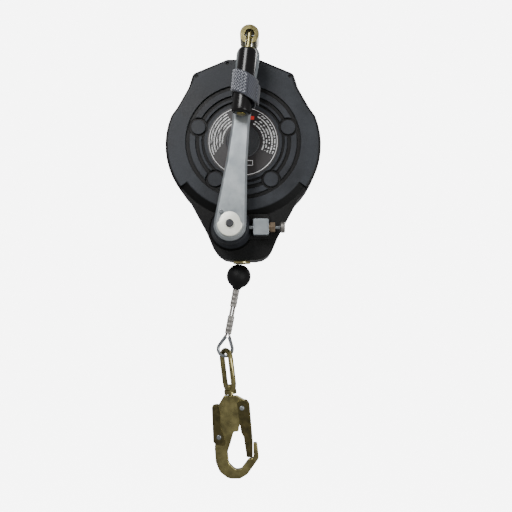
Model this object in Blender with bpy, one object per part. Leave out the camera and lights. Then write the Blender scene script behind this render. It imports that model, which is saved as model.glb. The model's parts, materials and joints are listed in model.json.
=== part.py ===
"""A self retracting lifeline with a rescue crank, built as separate pieces in metres, Z up, front towards -Y.

All lengths below are in millimetres, measured from the centre of the drum. The finished part is moved down so that
the bearing point of the anchorage eye is the origin.
"""

import math

import bmesh
import bpy
from mathutils import Matrix, Vector
from mathutils.geometry import tessellate_polygon

# ---- driving sizes -------------------------------------------------------------------------------------------------
HOUSING_DEPTH = 84.0
HOUSING_RADIUS = 121.6
HOUSING_TOP = 132.6
HOUSING_BOTTOM = -184.0
WALL = 4.0
EDGE_FILLET = 6.0
GAP = 0.3
BEARING_HEIGHT = 167.0
ROPE_RADIUS = 2.0
HUB_X, HUB_Z = -18.0, -135.3
CRANK_LENGTH = 275.8
CRANK_LEAN = math.radians(5.95)
GEAR_MODULE = 3.0
GEAR_TEETH = 71
PINION_TEETH = 20
GRIP_START = 21.0
GRIP_LENGTH = 95.0
GRIP_RADIUS = 13.0
DRUM_RADIUS = 92.0
PACK_RADIUS = 80.0
SHIFT_TRAVEL = 10.0
HOOK_THICKNESS = 12.0
BAIL_WIRE = 4.2
LINE_LEAN = math.radians(10.4)

HALF_DEPTH = HOUSING_DEPTH / 2
FRONT = -HALF_DEPTH
FUNNEL_FRONT = FRONT + 8.0
AXLE_RADIUS = 9.0
BOSS_RIM = FRONT - 23.0
SHAFT_RADIUS = 8.0
SLEEVE_RADIUS = 10.9
BUSH_RADIUS = 14.0
ARM_FRONT, ARM_REAR, ARM_HUB_REAR = FRONT - 53.0, FRONT - 41.0, FRONT - 34.0
FOLD_Y = ARM_FRONT - GRIP_RADIUS - 3.0
SOCKET_RADIUS, SOCKET_BORE = 14.0, 7.3
PLUNGER_Y = FRONT - 10.0

for leftover in list(bpy.data.objects):
    bpy.data.objects.remove(leftover)

bodies = {}


def world(x, y, z):
    return Vector((x, y, z - BEARING_HEIGHT)) * 0.001


def material(name, colour, metallic, roughness):
    found = bpy.data.materials.get(name)
    if found is None:
        found = bpy.data.materials.new(name)
        found.use_nodes = True
        shader = found.node_tree.nodes["Principled BSDF"]
        linear = [((c / 255 + 0.055) / 1.055) ** 2.4 if c > 10 else c / 255 / 12.92 for c in colour]
        shader.inputs["Base Color"].default_value = (*linear, 1)
        shader.inputs["Metallic"].default_value = metallic
        shader.inputs["Roughness"].default_value = roughness
    return found


housingPaint = material("housing_paint", (48, 50, 54), 0.1, 0.5)
castAlloy = material("cast_aluminium", (142, 148, 152), 0.9, 0.35)
zincYellow = material("zinc_yellow_steel", (120, 110, 70), 0.8, 0.35)
plainSteel = material("plain_steel", (150, 150, 150), 0.95, 0.3)
darkSteel = material("dark_steel", (70, 70, 72), 0.8, 0.4)
galvanised = material("galvanised_steel", (124, 120, 116), 0.9, 0.4)
brassMetal = material("brass", (190, 160, 90), 0.95, 0.3)
bronzeMetal = material("bronze", (150, 110, 70), 0.9, 0.4)
blackRubber = material("black_rubber", (14, 14, 14), 0.0, 0.7)
gripPlastic = material("grip_plastic", (8, 6, 7), 0.0, 0.25)
labelFilm = material("label_film", (230, 230, 230), 0.0, 0.4)
webbingCloth = material("strap_webbing", (76, 78, 88), 0.0, 0.9)
drumPlastic = material("drum_plastic", (200, 200, 190), 0.0, 0.5)
brakeLining = material("brake_lining", (90, 80, 70), 0.0, 0.8)


def body(name, parent, place):
    empty = bpy.data.objects.new("body_" + name, None)
    bpy.context.scene.collection.objects.link(empty)
    empty.empty_display_size = 0.02
    if parent:
        empty.parent = bodies[parent]
        empty.location = place - bodies[parent].matrix_world.translation
    else:
        empty.location = place
    bpy.context.view_layer.update()
    bodies[name] = empty
    return empty


def finish(name, mesh, owner, surface, smooth=True):
    """Adds the mesh, given in millimetres from the drum centre, as an object hung from its body."""
    tidy = bmesh.new()
    tidy.from_mesh(mesh)
    bmesh.ops.recalc_face_normals(tidy, faces=tidy.faces)
    tidy.to_mesh(mesh)
    tidy.free()
    place = bodies[owner].matrix_world.translation if owner else Vector()
    mesh.transform(Matrix.Translation(Vector((0, 0,
        -0.001 * BEARING_HEIGHT)) - place) @ Matrix.Scale(0.001, 4))
    thing = bpy.data.objects.new(name, mesh)
    bpy.context.scene.collection.objects.link(thing)
    if surface:
        mesh.materials.append(surface)
    if owner:
        thing.parent = bodies[owner]
    else:
        thing.hide_render = True
        thing.display_type = "WIRE"
    return thing


def meshOf(points, faces):
    mesh = bpy.data.meshes.new("shape")
    mesh.from_pydata([tuple(p) for p in points], [], [tuple(f) for f in faces])
    return mesh


# A frame is (origin, u, v, w): two in-plane directions and the direction of thickness or of the turning axis.
def frameOf(origin, u, v, w):
    return Vector(origin), Vector(u), Vector(v), Vector(w)


def alongY(x=0.0, z=0.0):
    return frameOf((x, 0, z), (1, 0, 0), (0, 0, 1), (0, 1, 0))


def alongZ(x=0.0, y=0.0):
    return frameOf((x, y, 0), (1, 0, 0), (0, 1, 0), (0, 0, 1))


def alongX(y=0.0, z=0.0):
    return frameOf((0, y, z), (0, 1, 0), (0, 0, 1), (1, 0, 0))


def spot(frame, a, b, c):
    origin, u, v, w = frame
    return origin + u * a + v * b + w * c


def turned(profile, frame, steps=40):
    """The solid of revolution of a closed outline of (radius, height) points."""
    points, rings, faces = [], [], []
    for radius, height in profile:
        if radius < 1e-6:
            rings.append([len(points)] * steps)
            points.append(spot(frame, 0, 0, height))
        else:
            rings.append([len(points) + i for i in range(steps)])
            for i in range(steps):
                turn = 2 * math.pi * i / steps
                points.append(spot(frame, radius * math.cos(turn), radius * math.sin(turn), height))
    closed = all(radius > 1e-6 for radius, _ in profile)
    for k in range(len(rings) if closed else len(rings) - 1):
        one, two = rings[k], rings[(k + 1) % len(rings)]
        for i in range(steps):
            j = (i + 1) % steps
            corners = []
            for corner in (one[i], one[j], two[j], two[i]):
                if corner not in corners:
                    corners.append(corner)
            if len(corners) > 2:
                faces.append(corners)
    return points, faces


def slab(loops, frame, low, high):
    """A plate with the outline loops[0] and the holes loops[1:]."""
    flat = [p for loop in loops for p in loop]
    count = len(flat)
    points = [spot(frame, a, b, low) for a, b in flat] + [spot(frame, a, b, high) for a, b in flat]
    triangles = tessellate_polygon([[Vector((a, b, 0)) for a, b in loop] for loop in loops])
    faces = [tuple(t) for t in triangles] + [tuple(i + count for i in t) for t in triangles]
    start = 0
    for loop in loops:
        size = len(loop)
        for i in range(size):
            j = (i + 1) % size
            faces.append((start + i, start + j, start + j + count, start + i + count))
        start += size
    return points, faces


def skinned(rings, capped=True, around=True):
    """A skin over rings of equal counts of 3-D points."""
    size = len(rings[0])
    points = [p for ring in rings for p in ring]
    faces = []
    for k in range(len(rings) if not capped else len(rings) - 1):
        n = (k + 1) % len(rings)
        for i in range(size if around else size - 1):
            j = (i + 1) % size
            faces.append((k * size + i, k * size + j, n * size + j, n * size + i))
    if capped:
        faces.append(tuple(range(size)))
        faces.append(tuple((len(rings) - 1) * size + i for i in range(size)))
    return points, faces


def joined(*shapes):
    points, faces = [], []
    for shapePoints, shapeFaces in shapes:
        start = len(points)
        points += list(shapePoints)
        faces += [tuple(i + start for i in face) for face in shapeFaces]
    return points, faces


def circle(radius, steps=40, x=0.0, z=0.0, start=0.0):
    return [
        (x + radius * math.cos(start + 2 * math.pi * i / steps),
            z + radius * math.sin(start + 2 * math.pi * i / steps))
        for i in range(steps)
    ]


def rounded(corners, steps=5, closed=True):
    """An outline through (x, z, radius) corners, each turned into an arc."""
    points = []
    count = len(corners)
    for i, (x, z, radius) in enumerate(corners):
        here = Vector((x, z))
        if radius <= 0 or (not closed and i in (0, count - 1)):
            points.append((x, z))
            continue
        before = Vector(corners[i - 1][:2]) - here
        after = Vector(corners[(i + 1) % count][:2]) - here
        one, two = before.normalized(), after.normalized()
        opening = one.angle(two)
        reach = min(radius / math.tan(opening / 2), before.length * 0.49, after.length * 0.49)
        radius = reach * math.tan(opening / 2)
        centre = here + (one + two).normalized() * math.hypot(radius, reach)
        start = here + one * reach - centre
        turn = math.atan2(start.x * (here + two * reach - centre).y - start.y * (here + two * reach - centre).x,
                          start.dot(here + two * reach - centre))
        for k in range(steps + 1):
            angle = turn * k / steps
            points.append((
                centre.x + start.x * math.cos(angle) - start.y * math.sin(angle),
                centre.y + start.x * math.sin(angle) + start.y * math.cos(angle),
            ))
    return points


def inset(loop, amount):
    """The loop moved inwards by an amount, with its number of points kept."""
    area = sum(a[0] * b[1] - b[0] * a[1] for a, b in zip(loop, loop[1:] + loop[:1]))
    side = 1 if area > 0 else -1
    moved = []
    for i, here in enumerate(loop):
        before, after = Vector(loop[i - 1]), Vector(loop[(i + 1) % len(loop)])
        here = Vector(here)
        one, two = (here - before).normalized(), (after - here).normalized()
        normal = Vector((-(one.y + two.y), one.x + two.x)).normalized() * side
        moved.append(tuple(here + normal * amount / max(0.5, math.sqrt((1 + one.dot(two)) / 2))))
    return moved


def ring3(loop, frame, height):
    return [spot(frame, a, b, height) for a, b in loop]


def cut(thing, shape, name, operation="DIFFERENCE"):
    cutter = finish(name, meshOf(*shape), None, None)
    change = thing.modifiers.new(name, "BOOLEAN")
    change.operation = operation
    change.solver = "EXACT"
    change.object = cutter
    # The cutter was placed from the drum centre, so it needs no parent.
    return cutter


def rod(radius, low, high, frame, steps=24):
    return turned([(0, low), (radius, low), (radius, high), (0, high)], frame, steps)


def swept(path, radius, steps, closed=False):
    """A round bar along a path of 3-D points."""
    count = len(path)
    path = [Vector(p) for p in path]
    rings, side = [], None
    for i, here in enumerate(path):
        before = path[i - 1] if closed or i else here
        after = path[(i + 1) % count] if closed or i < count - 1 else here
        ahead = (after - before).normalized()
        if side is None:
            side = ahead.cross(Vector((0.31, 0.87, 0.39))).normalized()
        side = (side - ahead * side.dot(ahead)).normalized()
        up = ahead.cross(side)
        rings.append([
            here + side * radius * math.cos(2 * math.pi * k / steps) + up * radius * math.sin(2 * math.pi * k / steps)
            for k in range(steps)
        ])
    return skinned(rings, capped=not closed)


def hexagon(flats, frame, low, high, hole):
    loops = [circle(flats / math.sqrt(3), 6), circle(hole, 24)]
    return slab(loops, frame, low, high)


def gearOutline(teeth, phase):
    pitch = GEAR_MODULE * teeth / 2
    tip, root = pitch + 0.8 * GEAR_MODULE, pitch - GEAR_MODULE
    half = (math.pi * GEAR_MODULE / 2 - 0.6) / 2
    slope = math.tan(math.radians(20))
    outline = []
    for i in range(teeth):
        middle = phase + 2 * math.pi * i / teeth
        for radius, width, side in (
            (root, half + GEAR_MODULE * slope, -1),
            (tip, half - 0.8 * GEAR_MODULE * slope, -1),
            (tip, half - 0.8 * GEAR_MODULE * slope, 1),
            (root, half + GEAR_MODULE * slope, 1),
        ):
            angle = middle + side * width / radius
            outline.append((radius * math.cos(angle), radius * math.sin(angle)))
    return outline


# ---- bodies --------------------------------------------------------------------------------------------------------
lineDirection = Vector((-math.sin(LINE_LEAN), 0, -math.cos(LINE_LEAN)))
lineAcross = Vector((math.cos(LINE_LEAN), 0, -math.sin(LINE_LEAN)))
lineStart = Vector((-3.6, 0, -186.0))
thimbleCentre = lineStart + lineDirection * 139.2
collarCentre = Vector((-20.4, 0, -390.0))
bailDown = (collarCentre - thimbleCentre).normalized()
armUp = Vector((math.sin(CRANK_LEAN), 0, math.cos(CRANK_LEAN)))
armAcross = Vector((math.cos(CRANK_LEAN), 0, -math.sin(CRANK_LEAN)))
hub = Vector((HUB_X, 0, HUB_Z))
foldCentre = hub + armUp * CRANK_LENGTH + Vector((0, FOLD_Y, 0))
pawlPivots = [Vector((62, 0, 0)), Vector((-62, 0, 0))]
gatePivot = Vector((-1.9, 0, -414.1))
leverPivot = Vector((-37.6, 0, -459.0))


def placeOf(vector):
    return world(*vector)


body("anchor", None, world(0, 0, BEARING_HEIGHT))
body("housing", "anchor", world(0, 0, HOUSING_TOP))
body("drum", "housing", world(0, 0, 0))
body("pawl_a", "drum", placeOf(pawlPivots[0]))
body("pawl_b", "drum", placeOf(pawlPivots[1]))
body("line_end", "housing", placeOf(lineStart))
body("bail", "line_end", placeOf(thimbleCentre))
body("hook", "bail", placeOf(collarCentre))
body("gate", "hook", placeOf(gatePivot))
body("lock_lever", "hook", placeOf(leverPivot))
body("plunger", "housing", world(45, PLUNGER_Y, HUB_Z))
body("shift_sleeve", "housing", world(HUB_X, BOSS_RIM, HUB_Z))
body("crank", "shift_sleeve", world(HUB_X, ARM_FRONT, HUB_Z))
body("grip_fold", "crank", placeOf(foldCentre))
body("grip", "grip_fold", placeOf(foldCentre - armUp * 60))

# ---- housing shells ------------------------------------------------------------------------------------------------
rightSide = (
    rounded([(0, HOUSING_TOP, 0), (25.5, HOUSING_TOP, 12), (79, 109.8, 9), (86, 87, 18), (103.5, 55.5, 22),
             (112.2, 44.0, 0)], 3, closed=False)[1:-1]
    + [(HOUSING_RADIUS * math.cos(t), HOUSING_RADIUS * math.sin(t) - 3.0)
       for t in (math.radians(22 - 68.0 * k / 10) for k in range(11))]
    + rounded([(85, -90, 0), (56.2, -142.5, 60), (38.5, HOUSING_BOTTOM, 30), (0, HOUSING_BOTTOM, 0)], 3,
              closed=False)[1:-1]
)
outline = rightSide + [(-x, z) for x, z in reversed(rightSide)]
screwPlaces = [(73.0, 104.0), (24.6, 124.4), (29.0, -171.5)]
screwPlaces += [(-x, z) for x, z in screwPlaces]
upright = alongY()
bossPlaces = [(73.4 * math.cos(math.radians(90 + 72 * k)), 73.4 * math.sin(math.radians(90 + 72 * k)))
              for k in range(5)]


def shellShape(face, side, roof):
    """One half of the housing: a cup with a rounded outer edge. side is -1 for the front and 1 for the rear."""
    rings = [ring3(outline, upright, side * GAP / 2)]
    for k in range(3):
        turn = math.pi / 2 * k / 2
        rings.append(ring3(
            inset(outline, EDGE_FILLET * (1 - math.cos(turn))), upright,
            face - side * EDGE_FILLET * (1 - math.sin(turn)),
        ))
    inner = [ring3(inset(outline, WALL), upright, side * GAP / 2), ring3(inset(outline, WALL + 0.5),
        upright, roof)]
    points, faces = skinned(rings, capped=True)
    faces.pop(-2)
    size, start = len(outline), len(points)
    points += inner[0] + inner[1]
    for i in range(size):
        j = (i + 1) % size
        faces.append((i, j, start + j, start + i))
        faces.append((start + i, start + j, start + size + j, start + size + i))
    faces.append(tuple(start + size + i for i in range(size)))
    return points, faces


frontShell = finish("front_shell", meshOf(*shellShape(FRONT, -1, FRONT + 12.0)), "housing", housingPaint)
rearShell = finish("rear_shell", meshOf(*shellShape(HALF_DEPTH, 1, HALF_DEPTH - WALL)), "housing",
    housingPaint)

# Columns for the housing screws, the crank's boss and the plunger's seat are added before anything is cut.
frontColumns = [rod(4.6, -0.6, FRONT + 11, alongY(x, z), 12) for x, z in screwPlaces]
rearColumns = [rod(6.5, 0.6, HALF_DEPTH - 3, alongY(x, z), 12) for x, z in screwPlaces]
cut(frontShell, joined(*frontColumns), "front_columns", "UNION")
cut(rearShell, joined(*rearColumns), "rear_columns", "UNION")
crankBoss = turned(
    [(0, FRONT + 11.3), (34.5, FRONT + 11.3), (34.5, FUNNEL_FRONT - 1.5), (30.5, FRONT - 2), (28.2, FRONT - 12),
     (27.4, BOSS_RIM + 2),
     (25.4, BOSS_RIM), (0, BOSS_RIM)], alongY(HUB_X, HUB_Z), 32)

# The lower front is set back: it starts on a round step below the drum and leaves the drum cover standing proud.
stepAngles = [math.radians(-36 - 108.0 * k / 18) for k in range(19)]
stepCut = []
for radius, height in ((119.0, FUNNEL_FRONT), (106.5, FRONT), (104.0, FRONT - 1.6)):
    inner = [(radius * math.cos(a), radius * math.sin(a)) for a in stepAngles]
    edge = [(-205 * math.cos(stepAngles[0]), 205 * math.sin(stepAngles[0])), (-150, -230), (150, -230),
            (205 * math.cos(stepAngles[0]), 205 * math.sin(stepAngles[0]))]
    stepCut.append(ring3(inner + edge, upright, height))
cut(frontShell, skinned(stepCut), "lower_front_cut")
cut(frontShell, crankBoss, "crank_boss", "UNION")
blockSeat = slab([rounded([(5, -113, 3), (41, -113, 3), (41, -153, 3), (5, -153, 3)], 1)], upright,
    FRONT + 2.3, FRONT + 9.0)
cut(frontShell, blockSeat, "block_seat", "UNION")
plungerLine = alongX(PLUNGER_Y, HUB_Z)
cut(frontShell, rod(3.4, HUB_X + 5, 30, plungerLine, 16), "plunger_bore")

grooves = [turned([(outer, FRONT - 1), (outer, FRONT + 3), (inner, FRONT + 3), (inner, FRONT - 1)],
    upright, 48)
           for outer, inner in ((90.0, 83.5), (74.6, 68.6), (64.7, 60.6))]
grooveCutter = cut(frontShell, joined(*grooves), "groove_cut")
cut(grooveCutter, joined(*[rod(13.2, FRONT - 4, FRONT + 6, alongY(x, z), 20) for x, z in bossPlaces]),
    "boss_keep")
moats = [turned([(15.2, FRONT - 1.3), (15.2, FRONT + 3.4), (11.35, FRONT + 3.4), (11.35, FRONT - 1.3)],
                alongY(x, z), 20) for x, z in bossPlaces]
cut(frontShell, joined(*moats), "moat_cut")

# Everything else that is open in a shell is cut at once: room for the gear and the spring cassette, the seat of the
# axle, the crank's bore, the screws, the anchorage's shank and the rope's gland.
glandLine = alongZ(-2.6)
atSplit = [rod(9.3, HOUSING_TOP - 12, HOUSING_TOP + 8, alongZ(), 22),
           rod(8.8, HOUSING_BOTTOM - 6, HOUSING_BOTTOM + 12, glandLine, 22)]
cut(frontShell, joined(
    turned([(0, FRONT + 3), (AXLE_RADIUS + GAP, FRONT + 3), (AXLE_RADIUS + GAP, FRONT + 5.5), (100, FRONT + 5.5),
            (100, FRONT + 13), (0, FRONT + 13)],
           upright, 40),
    rod(BUSH_RADIUS + GAP, -80, 0, alongY(HUB_X, HUB_Z), 28),
    *[rod(2.3, -27, 1, alongY(x, z), 10) for x, z in screwPlaces],
    *[rod(2.6, FRONT - 3, FRONT + 2.4, alongY(x, z), 10) for x, z in screwPlaces if z > 0],
    *atSplit), "front_openings")
cut(rearShell, joined(
    rod(AXLE_RADIUS + GAP, HALF_DEPTH - 12, HALF_DEPTH + 8, upright, 24),
    turned([(96, HALF_DEPTH + 1), (96, HALF_DEPTH - 1.5), (90, HALF_DEPTH - 1.5), (90, HALF_DEPTH + 1)],
           upright, 40),
    *[turned([(0, -1), (2.4, -1), (2.4, HALF_DEPTH - 6), (4.9, HALF_DEPTH - 6), (4.9, HALF_DEPTH + 2),
             (0, HALF_DEPTH + 2)], alongY(x, z), 10)
      for x, z in screwPlaces],
    *atSplit), "rear_openings")

for k, (x, z) in enumerate(screwPlaces):
    head = turned([(0, -20), (2.0, -20), (2.0, HALF_DEPTH - 5.7), (4.4, HALF_DEPTH - 5.7), (4.4, HALF_DEPTH - 3.4),
                   (3.4, HALF_DEPTH - 2.4), (0, HALF_DEPTH - 2.4)],
                  alongY(x, z), 12)
    finish(f"housing_screw_{k + 1}", meshOf(*head), "housing", plainSteel)

# ---- anchorage -----------------------------------------------------------------------------------------------------
eyeCentre = BEARING_HEIGHT - 10.5
eyeRing = slab([circle(20.5, 36), circle(10.5, 28)], alongX(0, eyeCentre), -4.0, 4.0)
anchorEye = finish("anchor_eye", meshOf(*eyeRing), "anchor", plainSteel)
shank = turned([(0, 97.5), (6, 97.5), (6, HOUSING_TOP + 2.6), (10.5, HOUSING_TOP + 2.6), (10.5,
    HOUSING_TOP + 4.4),
                (7.5, HOUSING_TOP + 7.5), (0, HOUSING_TOP + 8.4)], alongZ(), 24)
cut(anchorEye, shank, "shank_add", "UNION")
finish("anchor_nut", meshOf(*slab([circle(10.0, 6), circle(6.3, 24)], alongZ(), 99.6, 109.4)), "anchor",
    plainSteel)
finish("anchor_block", meshOf(*slab(
    [rounded([(-17.5, -16, 3), (17.5, -16, 3), (17.5, 16, 3), (-17.5, 16, 3)], 3), circle(8.3, 24)],
    alongZ(), 110.0, HOUSING_TOP - WALL - 0.4)), "housing", darkSteel)
finish("anchor_bush", meshOf(*turned(
    [(6.3, 110.5), (8.0, 110.5), (8.0, HOUSING_TOP + 0.3), (10.8, HOUSING_TOP + 0.3), (10.8,
        HOUSING_TOP + 2.3),
     (6.3, HOUSING_TOP + 2.3)], alongZ(), 24)), "housing", bronzeMetal)

# ---- drum, gear, spring and brake ----------------------------------------------------------------------------------
finish("main_axle", meshOf(*turned(
    [(0, FRONT + 3.4), (AXLE_RADIUS, FRONT + 3.4), (AXLE_RADIUS, HALF_DEPTH + 8.5), (7.5, HALF_DEPTH + 10),
     (0, HALF_DEPTH + 10)], upright, 24)),
        "housing", plainSteel)
finish("axle_nut", meshOf(*slab([circle(15.5, 6), circle(AXLE_RADIUS + GAP, 24)], upright,
    HALF_DEPTH + GAP, HALF_DEPTH + 7.8)), "housing", plainSteel)
finish("spring_cassette", meshOf(*turned(
    [(AXLE_RADIUS + GAP, -36.2), (60, -36.2), (60, -22.6), (58.2, -22.6), (58.2, -34.6),
        (AXLE_RADIUS + GAP, -34.6)],
    upright, 32)), "housing", darkSteel)
spiral = []
for k in range(49):
    turn = 2 * math.pi * 3 * k / 48
    spiral.append((14.6 + (57.4 - 14.6) * k / 48, turn))
inside = [(r * math.cos(t), r * math.sin(t)) for r, t in spiral]
outside = [((r - 0.9) * math.cos(t), (r - 0.9) * math.sin(t)) for r, t in reversed(spiral)]
finish("power_spring", meshOf(*slab([inside + outside], upright, -33.6, -23.6)), "housing", plainSteel)

finish("drum", meshOf(*turned(
    [(AXLE_RADIUS + GAP, -34.0), (12.2, -34.0), (12.2, -12.2), (DRUM_RADIUS, -12.2), (DRUM_RADIUS, -9.7),
     (45, -9.7), (45, 9.7), (DRUM_RADIUS, 9.7), (DRUM_RADIUS, 12.2), (AXLE_RADIUS + GAP, 12.2)],
    upright, 36)), "drum", drumPlastic)
towards = math.atan2(HUB_Z, HUB_X)
lighten = [circle(17, 12, 66 * math.cos(math.radians(60 * k)),
    66 * math.sin(math.radians(60 * k))) for k in range(6)]
finish("drum_gear", meshOf(*slab(
    [gearOutline(GEAR_TEETH, towards), circle(12.5, 24)] + lighten, upright, -19.5, -12.5)), "drum",
        darkSteel)
coils = [(45.3, 9.4), (45.3, -9.4), (PACK_RADIUS - 1.2, -9.4)]
for k in range(4):
    middle = -9.4 + 4.7 * (k + 0.5)
    coils += [(PACK_RADIUS, middle), (PACK_RADIUS - 1.2, middle + 2.35)]
finish("rope_pack", meshOf(*turned(coils, upright, 32)), "drum", galvanised)

ratchetTeeth = 10
ratchet = []
for k in range(ratchetTeeth):
    middle = 2 * math.pi * k / ratchetTeeth
    for share, radius in ((0.0, 75.0), (0.12, 83.0), (0.42, 83.0), (0.6, 79.0), (0.8, 75.0)):
        angle = middle + 2 * math.pi / ratchetTeeth * share
        ratchet.append((radius * math.cos(angle), radius * math.sin(angle)))
finish("catch_ring", meshOf(*slab([circle(90, 40), ratchet], upright, 13.6, 20.0)), "housing", darkSteel)
finish("brake_pad", meshOf(*turned([(70, 20.3), (90, 20.3), (90, 23.3), (70, 23.3)], upright, 32)), "housing",
       brakeLining)
finish("brake_plate", meshOf(*turned(
    [(66, 23.6), (94, 23.6), (94, 37.6), (90, 37.6), (90, 27), (66, 27)], upright, 32)), "housing", darkSteel)
for k, pivot in enumerate(pawlPivots):
    side = 1 if k == 0 else -1
    nameSide = "ab"[k]
    shape = rounded([(side * (62 - 5), side * -6, 4), (side * (62 + 6), side * -6, 4),
        (side * (62 + 10), side * 20, 1),
                     (side * (62 + 3), side * 22, 1), (side * (62 - 6), side * 4, 4)], 3)
    finish("pawl_" + nameSide, meshOf(*slab([shape, circle(3.3, 16, side * 62, 0)], upright, 13.8, 19.4)),
           "pawl_" + nameSide, darkSteel)
    finish("pawl_pin_" + nameSide, meshOf(*rod(3.0, 12.5, 20.2, alongY(side * 62, 0), 16)), "drum",
        plainSteel)

# ---- front details of the housing ----------------------------------------------------------------------------------
finish("label_plate", meshOf(*turned([(26.6, FRONT - GAP), (56.0, FRONT - GAP), (56.0, FRONT - 1.0),
                                      (26.6, FRONT - 1.0)], upright, 40)), "housing", labelFilm)
finish("centre_cap", meshOf(*turned([(0, FRONT - GAP), (26.2, FRONT - GAP), (26.2, FRONT - 1.4), (24.2,
    FRONT - 2.0),
                                     (23.6, FRONT - 1.2), (0, FRONT - 1.2)], upright, 28)), "housing",
                                     housingPaint)
finish("gland", meshOf(*turned(
    [(4.6, HOUSING_BOTTOM + 1), (6.8, HOUSING_BOTTOM + 6), (8.4, HOUSING_BOTTOM + 6), (8.4,
        HOUSING_BOTTOM - GAP),
     (13.8, HOUSING_BOTTOM - GAP), (13.8, HOUSING_BOTTOM - 3.4), (13.0, HOUSING_BOTTOM - 4.2),
     (6.2, HOUSING_BOTTOM - 4.2), (4.6, HOUSING_BOTTOM - 1.5)], glandLine, 20)), "housing", brassMetal)
crankBush = finish("crank_bush", meshOf(*turned(
    [(SLEEVE_RADIUS + GAP, BOSS_RIM - 0.3), (BUSH_RADIUS, BOSS_RIM - 0.3), (BUSH_RADIUS, FRONT + 11.5),
     (SLEEVE_RADIUS + GAP, FRONT + 11.5)], alongY(HUB_X, HUB_Z), 28)), "housing", bronzeMetal)
cut(crankBush, rod(3.4, HUB_X + 5, 30, plungerLine, 16), "bush_plunger_bore")

blockX = (15.5, 39.3)
block = finish("plunger_block", meshOf(*slab(
    [rounded([(blockX[0], HUB_Z + 12.4, 2), (blockX[1], HUB_Z + 12.4, 2), (blockX[1], HUB_Z - 12.4, 2),
              (blockX[0], HUB_Z - 12.4, 2)], 2)], upright, FRONT - 20.0, FRONT + 1.7)), "housing", castAlloy)
cut(block, turned([(0, 10), (3.5, 10), (3.5, 18.2), (6.8, 18.2), (6.8, 45), (0, 45)], plungerLine, 20),
    "block_bore")
nutFrame = frameOf((0, PLUNGER_Y, HUB_Z), (0, 1, 0), (0, 0, 1), (1, 0, 0))
plungerNut = finish("plunger_nut", meshOf(*slab([circle(8.4, 6), circle(2.9, 20)], nutFrame, 41.4,
    49.1)), "housing",
                    bronzeMetal)
cut(plungerNut, turned([(2.9, 36.8), (6.5, 36.8), (6.5, 42), (2.9, 42)], nutFrame, 20), "nut_spigot", "UNION")
finish("plunger_pin", meshOf(*turned(
    [(0, HUB_X + 9.9), (2.2, HUB_X + 9.9), (3.0, HUB_X + 10.7), (3.0, 19.0), (6.3, 19.0), (6.3, 21.5),
        (2.5, 21.5),
     (2.5, 60), (0, 60)], plungerLine, 16)), "plunger", plainSteel)
finish("plunger_knob", meshOf(*turned(
    [(0, 60.3), (2.8, 60.3), (2.8, 56.6), (6.6, 56.6), (8.5, 58.2), (8.5, 62.6), (7.4, 64.1), (0, 64.1)],
    plungerLine, 24)), "plunger", galvanised)
coil = [(22.9 + 12.2 * k / 36, PLUNGER_Y + 4.5 * math.cos(2 * math.pi * 4 * k / 36),
         HUB_Z + 4.5 * math.sin(2 * math.pi * 4 * k / 36)) for k in range(37)]
finish("plunger_spring", meshOf(*swept(coil, 0.7, 4)), "housing", plainSteel)

# ---- lifeline ------------------------------------------------------------------------------------------------------
away = Vector((lineStart.x, 0, lineStart.z))
ropeTurn = PACK_RADIUS + ROPE_RADIUS + GAP
meet = math.atan2(away.z, away.x) + math.acos(ropeTurn / away.length)
path = [Vector((ropeTurn * math.cos(meet + a), 0, ropeTurn * math.sin(meet + a)))
        for a in (math.radians(70 - 10 * k) for k in range(8))]
inEnd = away + (path[-1] - away).normalized() * 1.0
path += [inEnd + (path[-1] - inEnd) * 0.5, inEnd]
finish("lifeline_run", meshOf(*swept(path, ROPE_RADIUS, 10)), "housing", galvanised)


def onLine(t, across=0.0, y=0.0):
    return lineStart + lineDirection * t + lineAcross * across + Vector((0, y, 0))


finish("lifeline_stretch", meshOf(*swept([onLine(1.0), onLine(3.2)], ROPE_RADIUS, 10)), "housing", galvanised)
lineFrame = frameOf(lineStart, lineAcross, (0, 1, 0), lineDirection)
ballRadius = 19.2
ballProfile = [(ROPE_RADIUS + GAP, 23.0 - math.sqrt(ballRadius**2 - 36))]
ballProfile += [(ballRadius * math.cos(t), 23.0 + ballRadius * math.sin(t))
                for t in (math.radians(-72 + 18.0 * k) for k in range(7))]
ballProfile += [(12.2, 38.2), (9.0, 40.8), (5.4, 40.8), (ROPE_RADIUS + GAP, 32.0)]
finish("ball_stop", meshOf(*turned(ballProfile, lineFrame, 24)), "line_end", blackRubber)

strand = ROPE_RADIUS + 0.15
loopCentre, loopRadius = 139.2, 11.9
loop = [onLine(4.2), onLine(33.5), onLine(41.5, -strand), onLine(116.5, -strand)]
for k in range(15):
    turn = math.radians(-118 + 236 * k / 14) + math.pi / 2
    loop.append(onLine(loopCentre + loopRadius * math.sin(turn), -loopRadius * math.cos(turn)))
loop += [onLine(116.5, strand), onLine(42.5, strand)]
finish("lifeline_eye", meshOf(*swept(loop, ROPE_RADIUS, 10)), "line_end", galvanised)
for name, low, high in (("ferrule_upper", 43.4, 71.2), ("ferrule_lower", 86.4, 114.8)):
    def oval(extra):
        half, tall = strand, ROPE_RADIUS + extra
        right = [(half + tall * math.cos(a),
            tall * math.sin(a)) for a in (math.radians(-90 + 22.5 * k) for k in range(9))]
        return right + [(-x, y) for x, y in reversed(right)]
    finish(name, meshOf(*slab([oval(1.3), oval(0.2)], lineFrame, low, high)), "line_end", galvanised)

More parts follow.
